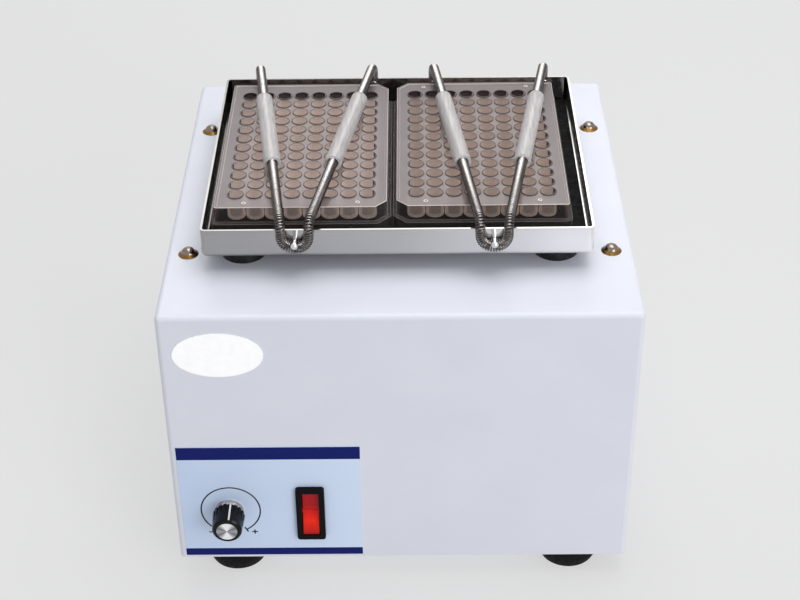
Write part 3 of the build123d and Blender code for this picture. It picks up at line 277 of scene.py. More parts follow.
def drawn_wire(name):
    """Bright drawn wire, with a painted highlight where it faces up and painted shade down the sides of the
    winding.
    """
    material, tree = start_material(name)
    world_normal = add_node(tree, "ShaderNodeNewGeometry").outputs["Normal"]
    painted_light_facing = add_node(tree, "ShaderNodeSeparateXYZ", inputs={"Vector": world_normal}).outputs["Z"]
    # Painted highlight on the wire's top, painted shade down its sides.
    stops = [(0.0, "6A6462"), (0.4, "5E5856"), (0.62, "3E3836"), (0.82, "5C5654"), (0.93, "E8E4E2")]
    tint = ramp(tree, painted_light_facing, stops)
    spots = noise(tree, 5 * mm, 3)
    finish_material(
        tree, Base_Color=blend_colours(tree, spread(tree, spots, 0.0, 0.3), tint, colour("8C8886")),
        Metallic=1.0, Roughness=spread(tree, spots, 0.16, 0.26), Normal=bump(tree, spots, 0.004 * mm, 0.3),
    )
    return material


print("sheet and wire ready")

# %% [markdown]
# ## The metals used
# Each starts from typical values for its kind. Its name is the common one, and its comment says
# what the eye sees. The two colours are the ends of its cloudy spots.

# %%
# Off-white polyester powder coat: a soft, semi-gloss skin
painted = powder_coat("powder_coat", "E4E7F0", "DCDFE9")
# Satin stainless sheet: long soft streaks of light, and a painted reflection that lightens it to the right
tray_low, tray_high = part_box("tray")
stainless = sheet_steel("satin_stainless_painted_reflection", tray_low.x, tray_high.x)
# The same sheet inside the tray, darkened as a painted reflection of the black mat it mirrors
shaded_steel = metal("shaded_stainless", "343438", "242428", 0.34, 0.25 * mm, (80, 80, 1), 0.003 * mm)
# Polished steel pegs and balls: small sharp lights
polished = metal("polished_steel", "E6E6E8", "D4D4D8", 0.09, 2 * mm)
# Blasted nickel on the knob's nut: pale and even
satin_nickel = metal("satin_nickel", "F2F2F5", "E2E2E8", 0.5, 1 * mm)
print("cabinet and tray metals ready")

# %%
# Bright zinc plate: bluish, slightly cloudy
zinc = metal("bright_zinc", "C9CCD2", "B4B8C0", 0.26, 1.5 * mm)
# Galvanised sheet: broad dull spangles
galvanised = metal("galvanised_sheet", "B4B8BC", "9CA0A6", 0.4, 8 * mm)
# Warm nickel plate on the domed screws, and the brass of the cup washers below them
nickel = metal("nickel_plate", "A2988C", "746A60", 0.12, 1.5 * mm)
brass = metal("brass_washer", "A07C48", "6E5028", 0.3, 1.2 * mm)
# Turned brass counterweight: rings left by the lathe
turned_brass = metal("turned_brass", "CBAF6E", "B0924F", 0.28, 0.3 * mm, (1, 1, 12))
# Drawn spring wire, with a painted highlight on top and painted shade down its sides
wire_painted_highlight = drawn_wire("spring_wire_painted_highlight")
print("fastener metals ready")

# %%
# Inside the cabinet: ground shafts and rings, turned aluminium, blackened steel, varnished iron
ground_steel = metal("ground_steel", "C8C8CC", "AEAEB4", 0.15, 0.4 * mm, (12, 12, 1))
aluminium = metal("turned_aluminium", "D2D3D6", "BCBDC1", 0.3, 0.3 * mm, (12, 12, 1))
black_oxide = metal("black_oxide", "3A3A3E", "28282C", 0.35, 1 * mm)
laminations = metal("varnished_laminations", "6A6A6E", "46464A", 0.45, 0.5 * mm, (40, 40, 1))
print("inner metals ready")

# %% [markdown]
# ## Rubber and plastics
# Moulded plastic copies its mould's fine grain, and its gloss varies a little where it was handled.
# Black rubber mirrors less than plastic. A plain colour would look like paint, so both get a grain
# about 0.6 mm wide.


# %%
def plastic(name, tint, shade, rough, grain=0.6 * mm, depth=0.006 * mm, coat=0.0, shine=0.5):
    """A moulded plastic or rubber with a fine grain."""
    material, tree = start_material(name)
    base = blend_colours(tree, noise(tree, 6 * mm, 3), colour(tint), colour(shade))
    finish_material(
        tree, Base_Color=base, Roughness=spread(tree, noise(tree, 2.5 * mm), rough * 0.85, rough * 1.2),
        Normal=bump(tree, noise(tree, grain), depth, 0.5), Coat_Weight=coat, Coat_Roughness=0.06,
        Specular_IOR_Level=shine,
    )
    return material


# Glossy natural rubber mounts, and the dull rubber of the feet and the mat
mount_rubber = plastic("glossy_rubber", "0E0E10", "060607", 0.28, 1.5 * mm)
mat_rubber = plastic("mat_rubber", "0B0B0C", "050506", 0.75, 0.5 * mm, 0.02 * mm, shine=0.2)
# Gloss phenolic resin of the knob, black nylon of the switch's frame, and undyed nylon
phenolic = plastic("gloss_phenolic", "050509", "020204", 0.14, 3 * mm, 0.002 * mm, shine=0.2)
black_nylon = plastic("black_nylon", "06060B", "030306", 0.3, shine=0.1)
natural_nylon = plastic("natural_nylon", "DEDACB", "D2CDBC", 0.4)
# White paint in the knob's pointer groove, and what the electronics are made of
white_fill = plastic("white_fill", "F0EFEA", "E4E2DC", 0.45)
ferrite = plastic("ferrite", "3B3B3F", "2B2B2F", 0.5)
solder_resist = plastic("solder_resist", "1F6A3C", "185632", 0.25, 1.0 * mm, coat=0.4)
copper_winding = metal("copper_winding", "B8683A", "8C4A26", 0.3, 0.4 * mm, (40, 40, 1), 0.05 * mm)
print("plastics ready")

# %% [markdown]
# ## Silicone sleeves
# The clamps' sleeves are milky silicone tube, cut from a longer hose. Light spreads inside it and
# some comes straight through, so the spring shows as a faint shadow. Full refraction would be slow
# and noisy in so thin a tube, so a clear shader is mixed in, less of it where the wall is seen edge
# on.


# %%
def silicone(name, clear_share):
    """Milky silicone tube: light spreads inside it, and the rest comes straight through."""
    material, tree = start_material(name)
    streaks = spread(tree, noise(tree, 1.1 * mm, 3, (1, 16, 1)), 0.0, 1.0)
    base = blend_colours(tree, streaks, colour("F4F1EE"), colour("C2C2C8"))
    shader = add_node(
        tree, "ShaderNodeBsdfPrincipled",
        inputs={
            "Base Color": base, "Roughness": 0.32, "Subsurface Weight": 0.3, "Subsurface Scale": 0.0025,
            "Subsurface Radius": (1.0, 1.0, 1.0),
            "Normal": bump(tree, noise(tree, 1.5 * mm), 0.02 * mm, 0.4),
        },
    ).outputs["BSDF"]
    clear = add_node(tree, "ShaderNodeBsdfTransparent", inputs={"Color": colour("FAF8F6")}).outputs["BSDF"]
    facing = add_node(tree, "ShaderNodeLayerWeight", inputs={"Blend": 0.35}).outputs["Facing"]
    share = add_node(
        tree, "ShaderNodeMapRange", inputs={"Value": facing, "To Min": 1 - clear_share, "To Max": 1.0}
    ).outputs["Result"]
    mixed = add_node(tree, "ShaderNodeMixShader", inputs={0: share, 1: clear, 2: shader}).outputs["Shader"]
    add_node(tree, "ShaderNodeOutputMaterial", inputs={"Surface": mixed})
    return material


print("silicone ready")

# %% [markdown]
# ## Clear polystyrene
# The well plates are moulded of clear polystyrene. A hundred thin walls behind one another bend and
# lose the light, and the eye reads them as a milky grey. Real glass shaders on 192 wells would take
# many bounces, so each part of the moulding has its own share that hides what lies behind, and its
# own share edge on. The light that the wells catch inside is painted as a faint glow. The outer
# walls of the edge wells are painted dark, a painted shade for the black tray that shows through
# them, each well's rim is a dark line of painted shade, and the edges and lips are painted
# highlights.


# %%
def darker(tint, share):
    """A hex colour with its light cut to a share."""
    return tuple(share * c for c in colour(tint)[:3]) + (1,)


def polystyrene(name, tint, clear_tint, solid, edge_on, glow):
    """Clear moulding: solid is the share that hides what lies behind, edge_on that share at a graze."""
    material, tree = start_material(name)
    base = blend_colours(tree, noise(tree, 20 * mm, 2), colour(tint), darker(tint, 0.88))
    # An emission of glow is painted light, standing for light caught inside the wells.
    shader = add_node(
        tree, "ShaderNodeBsdfPrincipled",
        inputs={
            "Base Color": base, "Roughness": spread(tree, noise(tree, 12 * mm), 0.12, 0.24),
            "Normal": bump(tree, noise(tree, 9 * mm), 0.03 * mm, 0.3), "Emission Color": base,
            "Emission Strength": glow,
        },
    ).outputs["BSDF"]
    clear = add_node(
        tree, "ShaderNodeBsdfTransparent", inputs={"Color": colour(clear_tint)}
    ).outputs["BSDF"]
    facing = add_node(tree, "ShaderNodeLayerWeight", inputs={"Blend": 0.5}).outputs["Facing"]
    share = add_node(
        tree, "ShaderNodeMapRange", inputs={"Value": facing, "To Min": solid, "To Max": edge_on}
    ).outputs["Result"]
    mixed = add_node(tree, "ShaderNodeMixShader", inputs={0: share, 1: clear, 2: shader}).outputs["Shader"]
    add_node(tree, "ShaderNodeOutputMaterial", inputs={"Surface": mixed})
    return material


def plate_finishes(side, deck, tube):
    """Finishes for the parts of one plate's moulding, from its deck and tube colours; rims and edge walls
    are painted shade, tubes glow with painted light, and lips and edges are painted highlights.
    """
    return {
        "deck": polystyrene(f"{side}_deck", deck, "EFEAE5", 0.55, 0.8, 0.0),
        # Painted shade: the dark line round each well's rim.
        "rim": polystyrene(f"{side}_rim", "665C5A", "B8B2AC", 0.65, 0.85, 0.0),
        # Painted light: the tubes are lighter and glow faintly, for light caught inside.
        "tube": polystyrene(f"{side}_tube", tube, "F2ECE6", 0.3, 0.7, 0.4),
        # Painted shade where the black tray shows through the edge wells' outer walls.
        "shade": polystyrene(f"{side}_shade", "4A4444", "A09A9A", 0.5, 0.7, 0.0),
        "skirt": polystyrene(f"{side}_skirt", deck, "F2F0EE", 0.05, 0.22, 0.0),
        # Painted highlights: the light lips and edges of the moulding.
        "lip": polystyrene(f"{side}_lip", "D8D2CD", "F6F4F2", 0.15, 0.5, 0.0),
        "edge": polystyrene(f"{side}_edge", "F2E8E2", "F4F1EE", 0.75, 0.95, 0.1),
    }


sleeve_silicone = silicone("silicone", 0.86)
cut_silicone = silicone("cut_silicone", 0.1)
left_plastics = plate_finishes("left", "9A8F8F", "CCC0BC")
right_plastics = plate_finishes("right", "988D8C", "BEB0AA")
print("clear plastics ready")


# %%
# %% [markdown]
# ## Label and switch
# The label is polycarbonate film, printed from behind and matt in front. Its blue is painted
# lighter to the right, where more light falls. The rocker is translucent red nylon, and its colour is
# painted light and shade: darker red above, orange below where light that came in comes back out, and
# dark at its lower edge. A lamp inside would do that too, but the switch is off, so a gradient with a
# faint glow, also painted light, is closer.


# %%
def printed_label(name, low, high):
    """Matt printed polycarbonate, painted lighter towards the right, where more light falls."""
    material, tree = start_material(name)
    # Painted light: the blue lightens to the right.
    stops = [(0.0, "C6D9F5"), (0.5, "CEDFF9"), (1.0, "D6E6FE")]
    painted_light_across = ramp(tree, height_share(tree, low, high, "X"), stops)
    base = blend_colours(tree, spread(tree, noise(tree, 18 * mm, 4), 0.0, 0.35), painted_light_across, colour("D6E2F4"))
    finish_material(
        tree, Base_Color=base, Roughness=spread(tree, noise(tree, 8 * mm), 0.36, 0.5),
        Normal=bump(tree, noise(tree, 0.25 * mm), 0.006 * mm, 0.5),
    )
    return material


def rocker_red(name, low, high):
    """Translucent red nylon, its colour painted light and shade: dark at the lower edge, orange below,
    darker red at the top, with a faint glow.
    """
    material, tree = start_material(name)
    # Painted light and shade by height: dark at the lower edge, bright orange low down, darker red above.
    orange_low = [(0.0, "4A0200"), (0.08, "B81200"), (0.3, "F42200")]
    red_high = [(0.5, "D80C00"), (0.62, "B00008"), (1.0, "B0000C")]
    painted_light_by_height = ramp(tree, height_share(tree, low, high), orange_low + red_high)
    # The emission is painted light: a faint glow of the same colours.
    finish_material(
        tree, Base_Color=painted_light_by_height, Roughness=spread(tree, noise(tree, 2 * mm), 0.14, 0.24),
        Normal=bump(tree, noise(tree, 2 * mm), 0.004 * mm, 0.4), Specular_IOR_Level=0.25,
        Emission_Color=painted_light_by_height, Emission_Strength=0.12,
    )
    return material


print("label and rocker finishes ready")

# %% [markdown]
# ## Turned cap and printed ink
# The knob's cap is aluminium, faced on a lathe. Its rings stretch every light into two bright
# sectors, above and below. An anisotropic shader needs a tangent on the disc, so the sectors are a
# painted highlight, with painted shade at the sides, made from the direction out of the disc's
# middle instead, and the rings, 0.35 mm apart, are a bump.


# %%
def spun_metal(name, centre, rings):
    """A disc turned on a lathe about a centre: fine rings, and two opposite bright sectors of painted
    highlight, with painted shade between.
    """
    material, tree = start_material(name)
    place = add_node(tree, "ShaderNodeTexCoord").outputs["Object"]
    offset = add_node(
        tree, "ShaderNodeVectorMath", {"operation": "SUBTRACT"}, {0: place, 1: tuple(centre)}
    ).outputs["Vector"]
    flat = add_node(
        tree, "ShaderNodeVectorMath", {"operation": "MULTIPLY"}, {0: offset, 1: (1.0, 0.0, 1.0)}
    ).outputs["Vector"]
    reach = add_node(tree, "ShaderNodeVectorMath", {"operation": "LENGTH"}, {0: flat}).outputs["Value"]
    turns = add_node(
        tree, "ShaderNodeMath", {"operation": "MULTIPLY"}, {0: reach, 1: 2 * math.pi / rings}
    ).outputs[0]
    groove = add_node(tree, "ShaderNodeMath", {"operation": "SINE"}, {0: turns}).outputs[0]
    heading = add_node(
        tree, "ShaderNodeVectorMath", {"operation": "NORMALIZE"}, {0: flat}
    ).outputs["Vector"]
    upright = add_node(tree, "ShaderNodeSeparateXYZ", inputs={"Vector": heading}).outputs["Z"]
    upright = add_node(tree, "ShaderNodeMath", {"operation": "ABSOLUTE"}, {0: upright}).outputs[0]
    # Painted highlight above and below, painted shade at the sides.
    stops = [(0.0, "B4B5BA"), (0.5, "77787E"), (0.78, "C8C9CE"), (0.92, "FFFFFF"), (1.0, "FFFFFF")]
    sectors = ramp(tree, upright, stops)
    finish_material(
        tree, Base_Color=sectors, Metallic=1.0, Roughness=0.28, Normal=bump(tree, groove, 0.006 * mm, 0.35)
    )
    return material


def ink(name, tint, glow=0.0):
    """Screen-printed ink with a faintly uneven gloss; where glow is set, an emission adds painted light."""
    material, tree = start_material(name)
    base = blend_colours(tree, noise(tree, 3 * mm), colour(tint), darker(tint, 0.85))
    finish_material(
        tree, Base_Color=base, Roughness=spread(tree, noise(tree, 1 * mm), 0.35, 0.5),
        Normal=bump(tree, noise(tree, 0.25 * mm), 0.004 * mm, 0.4), Specular_IOR_Level=0.12,
        Emission_Color=base, Emission_Strength=glow,
    )
    return material


print("cap and ink finishes ready")

# %%
label_low, label_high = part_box("control_label")
rocker_low, rocker_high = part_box("rocker")
cap_low, cap_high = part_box("knob_cap")
label_face = printed_label("label_polycarbonate", label_low.x, label_high.x)
rocker_nylon = rocker_red("red_nylon_painted_light", rocker_low.z, rocker_high.z)
spun_cap = spun_metal("spun_aluminium_painted_highlight", (cap_low + cap_high) / 2, 0.35 * mm)
navy_ink = ink("navy_ink", "0A1A6A")
black_ink = ink("black_ink", "0C0C1C")
# Painted light: the white enamel glows a little, so it looks brighter than the lamps make it.
white_ink = ink("white_enamel_painted_glow", "FFFFFF", 0.22)
print("label, rocker and knob finishes ready")

# %% [markdown]
# ## Finishes for the CAD pieces
# Most pieces are right as the CAD model made them, so they keep that shape and only get a material.
# The table reads as a parts list: a finish, and the nodes that have it. The springs and the plates
# are replaced later.

# %%
finishes = {
    painted: ["casing", "base_plate"],
    zinc: [
        "cover_screws", "foot_screws", "mount_studs", "mount_nuts", "motor_can", "motor_screws",
        "inlet_screws", "inlet_nuts", "pin_washer", "pin_screw", "potentiometer",
    ],
    galvanised: ["motor_bridge"],
    brass: ["cup_washers"],
    nickel: ["dome_screws", "inlet_pins"],
    mount_rubber: ["rubber_mounts"],
    mat_rubber: ["feet", "tray_mat"],
    ferrite: ["motor_magnets"],
    phenolic: ["motor_end_cap", "fuse_holder", "fuse_cap", "speed_knob"],
    black_nylon: ["switch_housing", "mains_inlet", "fuse_nut"],
    label_face: ["control_label"],
    polished: ["clamp_pegs", "bearing_balls"],
    satin_nickel: ["knob_washer", "knob_nut"],
    natural_nylon: ["board_standoffs"],
    solder_resist: ["circuit_board"],
    aluminium: ["board_parts", "bearing_housing", "knob_shaft"],
    laminations: ["transformer_core", "motor_rotor"],
    copper_winding: ["transformer_coil"],
    ground_steel: ["motor_shaft", "crank_hub", "bearing_inner_ring", "bearing_outer_ring"],
    turned_brass: ["counterweight"],
    black_oxide: ["crank_grub_screw"],
    stainless: ["tray", "mount_screws", "housing_screws"],
    wire_painted_highlight: ["left_clamp_spring", "right_clamp_spring"],
    sleeve_silicone: ["left_clamp_sleeves", "right_clamp_sleeves"],
    left_plastics["deck"]: ["left_microplate"],
    right_plastics["deck"]: ["right_microplate"],
    spun_cap: ["knob_cap"],
    white_fill: ["knob_pointer"],
    rocker_nylon: ["rocker"],
}
for material, names in finishes.items():
    for name in names:
        nodes[name].data.materials.clear()
        nodes[name].data.materials.append(material)
        for polygon in nodes[name].data.polygons:
            polygon.material_index = 0
print(len(finishes), "finishes")

# %% [markdown]
# ## Two materials on one piece
# A CAD node is one mesh, but the tray is bright outside and painted dark inside, a painted
# reflection of the black mat, and a sleeve's cut ends are more solid than its wall. Each face has a
# number for its material, so the faces are picked by where they lie or face.

# %%
tray_mesh = nodes["tray"].data
# Painted reflection: the faces inside the tray get the darkened steel.
tray_mesh.materials.append(shaded_steel)
inner_low, inner_high = tray_low + Vector((1, 1, 1)) * mm, tray_high - Vector((1, 1, 0.3)) * mm
for polygon in tray_mesh.polygons:
    places = zip(inner_low, polygon.center, inner_high)
    polygon.material_index = int(all(low < place < high for low, place, high in places))
print("tray faces inside:", sum(polygon.material_index for polygon in tray_mesh.polygons))
for name in finishes[sleeve_silicone]:
    nodes[name].data.materials.append(cut_silicone)
    for polygon in nodes[name].data.polygons:
        polygon.material_index = int(abs(polygon.normal.y) > 0.9)
bare = sorted(set(nodes) - {name for names in finishes.values() for name in names})
print("nodes left bare:", bare)

# %% [markdown]
# ## Building pieces
# Everything new is made from points in code, so that its sizes can be read. A mesh piece gets
# smooth shading with sharp edges, its materials, and the body that it rides on, an empty named for
# the platform, a clamp or the cabinet, to which it is parented. A modifier could smooth the
# shading, but one call on the mesh does it.


# %%
def add_piece(name, verts, faces, materials, body, kinds=(), sharp=35):
    """A mesh piece from points in metres. kinds names each face's material, where there are several."""
    mesh = bpy.data.meshes.new(name)
    mesh.from_pydata([tuple(v) for v in verts], [], faces)
    mesh.shade_smooth()
    mesh.set_sharp_from_angle(angle=math.radians(sharp))
    for material in materials.values():
        mesh.materials.append(material)
    places = {kind: i for i, kind in enumerate(materials)}
    for polygon, kind in zip(mesh.polygons, kinds):
        polygon.material_index = places[kind]
    piece = bpy.data.objects.new(name, mesh)
    scene.collection.objects.link(piece)
    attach(piece, body)
    return piece


print("mesh builder ready")

# %% [markdown]
# ## Winding wire
# A spring is a wire wound round a line. The line is straight runs joined by arcs, and the wire's
# points go round it while they go along it. A Screw modifier can wind a straight spring, but not
# one that bends in a V and opens in its loop, so the points are worked out, and a curve with a
# round bevel makes the wire.


# %%
def rounded_path(points, radii, step):
    """Points a step apart along straight runs joined by arcs at the inner corners."""
    path = [points[0]]
    for before, corner, after, radius in zip(points, points[1:], points[2:], radii):
        inward, outward = (corner - before).normalized(), (after - corner).normalized()
        turn = inward.angle(outward)
        reach = radius * math.tan(turn / 2)
        middle = corner + (outward - inward).normalized() * radius / math.cos(turn / 2)
        start = corner - inward * reach - middle
        axis = inward.cross(outward)
        count = max(4, round(radius * turn / step))
        path += [middle + Matrix.Rotation(turn * i / count, 3, axis) @ start for i in range(count + 1)]
    path.append(points[-1])
    even = [path[0]]
    for first, second in zip(path, path[1:]):
        count = max(1, round((second - first).length / step))
        even += [first.lerp(second, i / count) for i in range(1, count + 1)]
    return even


def wind(path, radius_at, pitch_at, steps=14):
    """A helix round a path, with its radius and the distance between its turns given at each point."""
    side = Vector((1, 0, 0))
    angle = 0.0
    points = []
    for here, there in zip(path, path[1:]):
        along = (there - here).normalized()
        side = (side - along * side.dot(along)).normalized()
        other = along.cross(side)
        gap = (there - here).length
        count = max(1, round(steps * gap / pitch_at(here)))
        for i in range(count):
            turned = angle + 2 * math.pi * gap * i / count / pitch_at(here)
            place = here.lerp(there, i / count)
            points.append(place + radius_at(place) * (math.cos(turned) * side + math.sin(turned) * other))
        angle += 2 * math.pi * gap / pitch_at(here)
    return points


def add_wire(name, lines, thickness, share_at, material, body):
    """Round wire along lines of points, as one curve piece. share_at gives its share of the thickness."""
    curve = bpy.data.curves.new(name, "CURVE")
    curve.dimensions = "3D"
    curve.bevel_depth = thickness / 2
    curve.bevel_resolution = 2
    curve.use_fill_caps = True
    for line in lines:
        spline = curve.splines.new("POLY")
        spline.points.add(len(line) - 1)
        for point, place in zip(spline.points, line):
            point.co = (*place, 1)
            point.radius = share_at(place)
        spline.use_smooth = True
    curve.materials.append(material)
    piece = bpy.data.objects.new(name, curve)
    scene.collection.objects.link(piece)
    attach(piece, body)
    return piece


print("wire builders ready")

# %% [markdown]
# ## Clamp springs
# Each clamp is one long extension spring in a V. It is close wound where it lies over the plate, so
# close that its turns overlap here and it looks almost smooth, and it opens where it is bent down
# over the front. An eye at each end goes round a rear peg, and the loop hangs under the front peg.


# %%
coil_reach = 2.5 * mm
end_z, peg_z = 180.5 * mm, 178 * mm
loop_half = 6.5
rear_bend, loop_bend = 5 * mm, 6.3 * mm
opening_start, opening_run = 60 * mm, 52 * mm
wire_thickness = 0.9 * mm


def clamp_spring(name, node, body, peg_x, rear_x):
    """One wound clamp spring between two rear pegs and a front peg, inside its CAD node's box."""
    low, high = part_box(node)
    rear_y, front_y_line = high.y - coil_reach, low.y + coil_reach
    top_z, foot_z = high.z - coil_reach, low.z + coil_reach
    near, far = (peg_x - loop_half) * mm, (peg_x + loop_half) * mm
    points = [
        Vector((rear_x[0] * mm, rear_y, end_z)), Vector((rear_x[0] * mm, rear_y, top_z)),
        Vector((near, front_y_line, top_z)), Vector((near, front_y_line, foot_z)),
        Vector((far, front_y_line, foot_z)), Vector((far, front_y_line, top_z)),
        Vector((rear_x[1] * mm, rear_y, top_z)), Vector((rear_x[1] * mm, rear_y, end_z)),
    ]
    bends = [rear_bend, rear_bend, loop_bend, loop_bend, rear_bend, rear_bend]
    path = rounded_path(points, bends, 0.8 * mm)

    def opened(place):
        """0 where the turns lie close, rising to 1 in the loop."""
        return min(1.0, max(0.0, (front_y_line + opening_start - place.y) / opening_run))

    def coil_radius(place):
        return (1.88 + 0.17 * opened(place)) * mm

    def pitch(place):
        return (0.62 + 0.44 * opened(place)) * mm

    def wire_share(place):
        return 1.5 - 0.66 * opened(place)

    coil = wind(path, coil_radius, pitch)
    rings = [
        [
            Vector((x * mm + coil_reach * math.cos(a), rear_y, peg_z + coil_reach * math.sin(a)))
            for a in (math.radians(10 * i + 90) for i in range(37))
        ]
        for x in rear_x
    ]
    piece = add_wire(name, [coil, *rings], wire_thickness, wire_share, wire_painted_highlight, body)
    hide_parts(node)
    return len(coil)


left_count = clamp_spring("left_spring_coil", "left_clamp_spring", "left_clamp", -48.3, (-74.6, -14.1))
right_count = clamp_spring("right_spring_coil", "right_clamp_spring", "right_clamp", 44.0, (18.0, 77.0))
print("spring points:", left_count, right_count)

# %% [markdown]
# ## Well plates
# A well plate is one thin moulding: a deck with 8 by 12 wells hanging from it as tubes, a raised
# border, and a skirt that steps out to a flange. Its footprint of 85.48 by 127.76 mm and its wells
# 9 mm apart are set by a standard. Cutting holes with booleans would leave messy faces, so each
# well is a ring in a square tile, and neighbours share their edges.


# %%
plate_size = Vector((85.48, 127.76, 14.35)) * mm
flange_step = 1.9 * mm
well_spacing = 9 * mm
columns, rows = 8, 12
segments = 24
directions = [2 * math.pi * i / segments for i in range(segments)]
half_grid_x, half_grid_y = columns * well_spacing / 2, rows * well_spacing / 2
print("wells in a plate:", columns * rows)


# %%
def tile_edge(angle):
    """The point where a direction leaves a square tile."""
    x, y = math.cos(angle), math.sin(angle)
    reach = well_spacing / 2 / max(abs(x), abs(y))
    return x * reach, y * reach


def outline(inset, height):
    """A ring of the plate's outline: rounded corners on the left, cut corners on the right."""
    half_x, half_y = plate_size.x / 2 - inset, plate_size.y / 2 - inset
    cut = 6.5 * mm - inset * (2 - math.sqrt(2))
    radius = max(0.5 * mm, 3.2 * mm - inset)
    points = []
    for sign_x, sign_y, start in ((1, 1, 0), (-1, 1, 90), (-1, -1, 180), (1, -1, 270)):
        if sign_x > 0:
            pair = [(half_x, sign_y * (half_y - cut)), (half_x - cut, sign_y * half_y)]
            points.append(pair if sign_y > 0 else pair[::-1])
        else:
            centre_x, centre_y = sign_x * (half_x - radius), sign_y * (half_y - radius)
            turns = [math.radians(start + 18 * i) for i in range(6)]
            arc = [(centre_x + radius * math.cos(t), centre_y + radius * math.sin(t)) for t in turns]
            points.append(arc)
    return [[(x, y, height) for x, y in corner] for corner in points]


print("outline points:", sum(len(corner) for corner in outline(0.0, 0.0)))


# %%


class Shell:
    """A mesh in the making, in which equal points are one vertex."""

    def __init__(self):
        self.verts, self.faces, self.kinds, self.found = [], [], [], {}

    def point(self, place):
        """The index of a point, made if it is new."""
        key = tuple(round(c / (0.001 * mm)) for c in place)
        if key not in self.found:
            self.found[key] = len(self.verts)
            self.verts.append(place)
        return self.found[key]

    def face(self, places, kind):
        """A face of one kind through points."""
        self.faces.append([self.point(p) for p in places])
        self.kinds.append(kind)

    def band(self, first, second, kind, shaded=None):
        """Quads of one kind between two closed rings, save those that a test picks to be shaded."""
        for i in range(len(first)):
            j = (i + 1) % len(first)
            self.face([first[i], first[j], second[j], second[i]], "shade" if shaded and shaded(i) else kind)


print("shell builder ready")


# %%
def outer_wall(column, row):
    """The sides of an edge well that look out of the plate and get painted shade, as a test on a
    direction's index.
    """
    ways = []
    if row in (0, rows - 1):
        ways.append((math.pi / 2 if row else -math.pi / 2, 0.3))
    if column in (0, columns - 1):
        ways.append((0.0 if column else math.pi, 0.8))
    return lambda i: any(math.cos(directions[i] - way) > least for way, least in ways)


def add_wells(shell, deck, flipped, rings, floor_height):
    """One tube in each tile: rings of (radius, height, kind) from the deck inwards, and a closed floor."""
    for column in range(columns):
        for row in range(rows):
            x0 = (column - (columns - 1) / 2) * well_spacing
            y0 = (row - (rows - 1) / 2) * well_spacing
            edge = [(x0 + x, y0 + y, deck) for x, y in map(tile_edge, directions)]
            lines = [edge] + [
                [(x0 + r * math.cos(a), y0 + r * math.sin(a), z) for a in directions] for r, z, _ in rings
            ]
            if flipped:
                lines = [line[::-1] for line in lines]
            for first, second, (_, _, kind) in zip(lines, lines[1:], rings):
                # Painted shade on the outer walls of the edge wells' tubes.
                inner = kind == "tube" and not flipped
                shell.band(first, second, kind, outer_wall(column, row) if inner else None)
            for i in range(segments):
                shell.face([lines[-1][i], lines[-1][(i + 1) % segments], (x0, y0, floor_height)], "tube")


def grid_marks(count):
    """Where the tiles' points lie along one side of the grid of wells."""
    steps = [tile_edge(a)[1] for a in directions if math.cos(a) > math.cos(math.pi / 4) - 1e-6]
    middles = [(i - (count - 1) / 2) * well_spacing for i in range(count)]
    return sorted({round(middle + step, 9) for middle in middles for step in steps})


def add_border(shell, deck, ring, flipped):
    """Flat faces from the outer tiles to the first ring of the outline."""
    marks_x, marks_y = grid_marks(columns), grid_marks(rows)
    sides = [
        [(x, half_grid_y, deck) for x in reversed(marks_x)],
        [(-half_grid_x, y, deck) for y in reversed(marks_y)],
        [(x, -half_grid_y, deck) for x in marks_x],
        [(half_grid_x, y, deck) for y in marks_y],
    ]
    for i, side in enumerate(sides):
        here, there = ring[i], ring[(i + 1) % 4]
        strip = [here[-1], there[0]] + side[::-1]
        fan = [side[0]] + here
        for face in (strip, fan):
            shell.face(face[::-1] if flipped else face, "skirt" if flipped else "deck")


def add_pip(shell, x, y, base, radius, height):
    """A small raised ring on the deck, light as a painted highlight."""
    turns = directions[::2]
    rings = [
        [(x + r * math.cos(a), y + r * math.sin(a), z) for a in turns]
        for r, z in (
            (radius, base), (radius, base + height), (0.6 * radius, base + height), (0.6 * radius, base)
        )
    ]
    for first, second in zip(rings, rings[1:]):
        shell.band(first, second, "edge")


print("well and border builders ready")


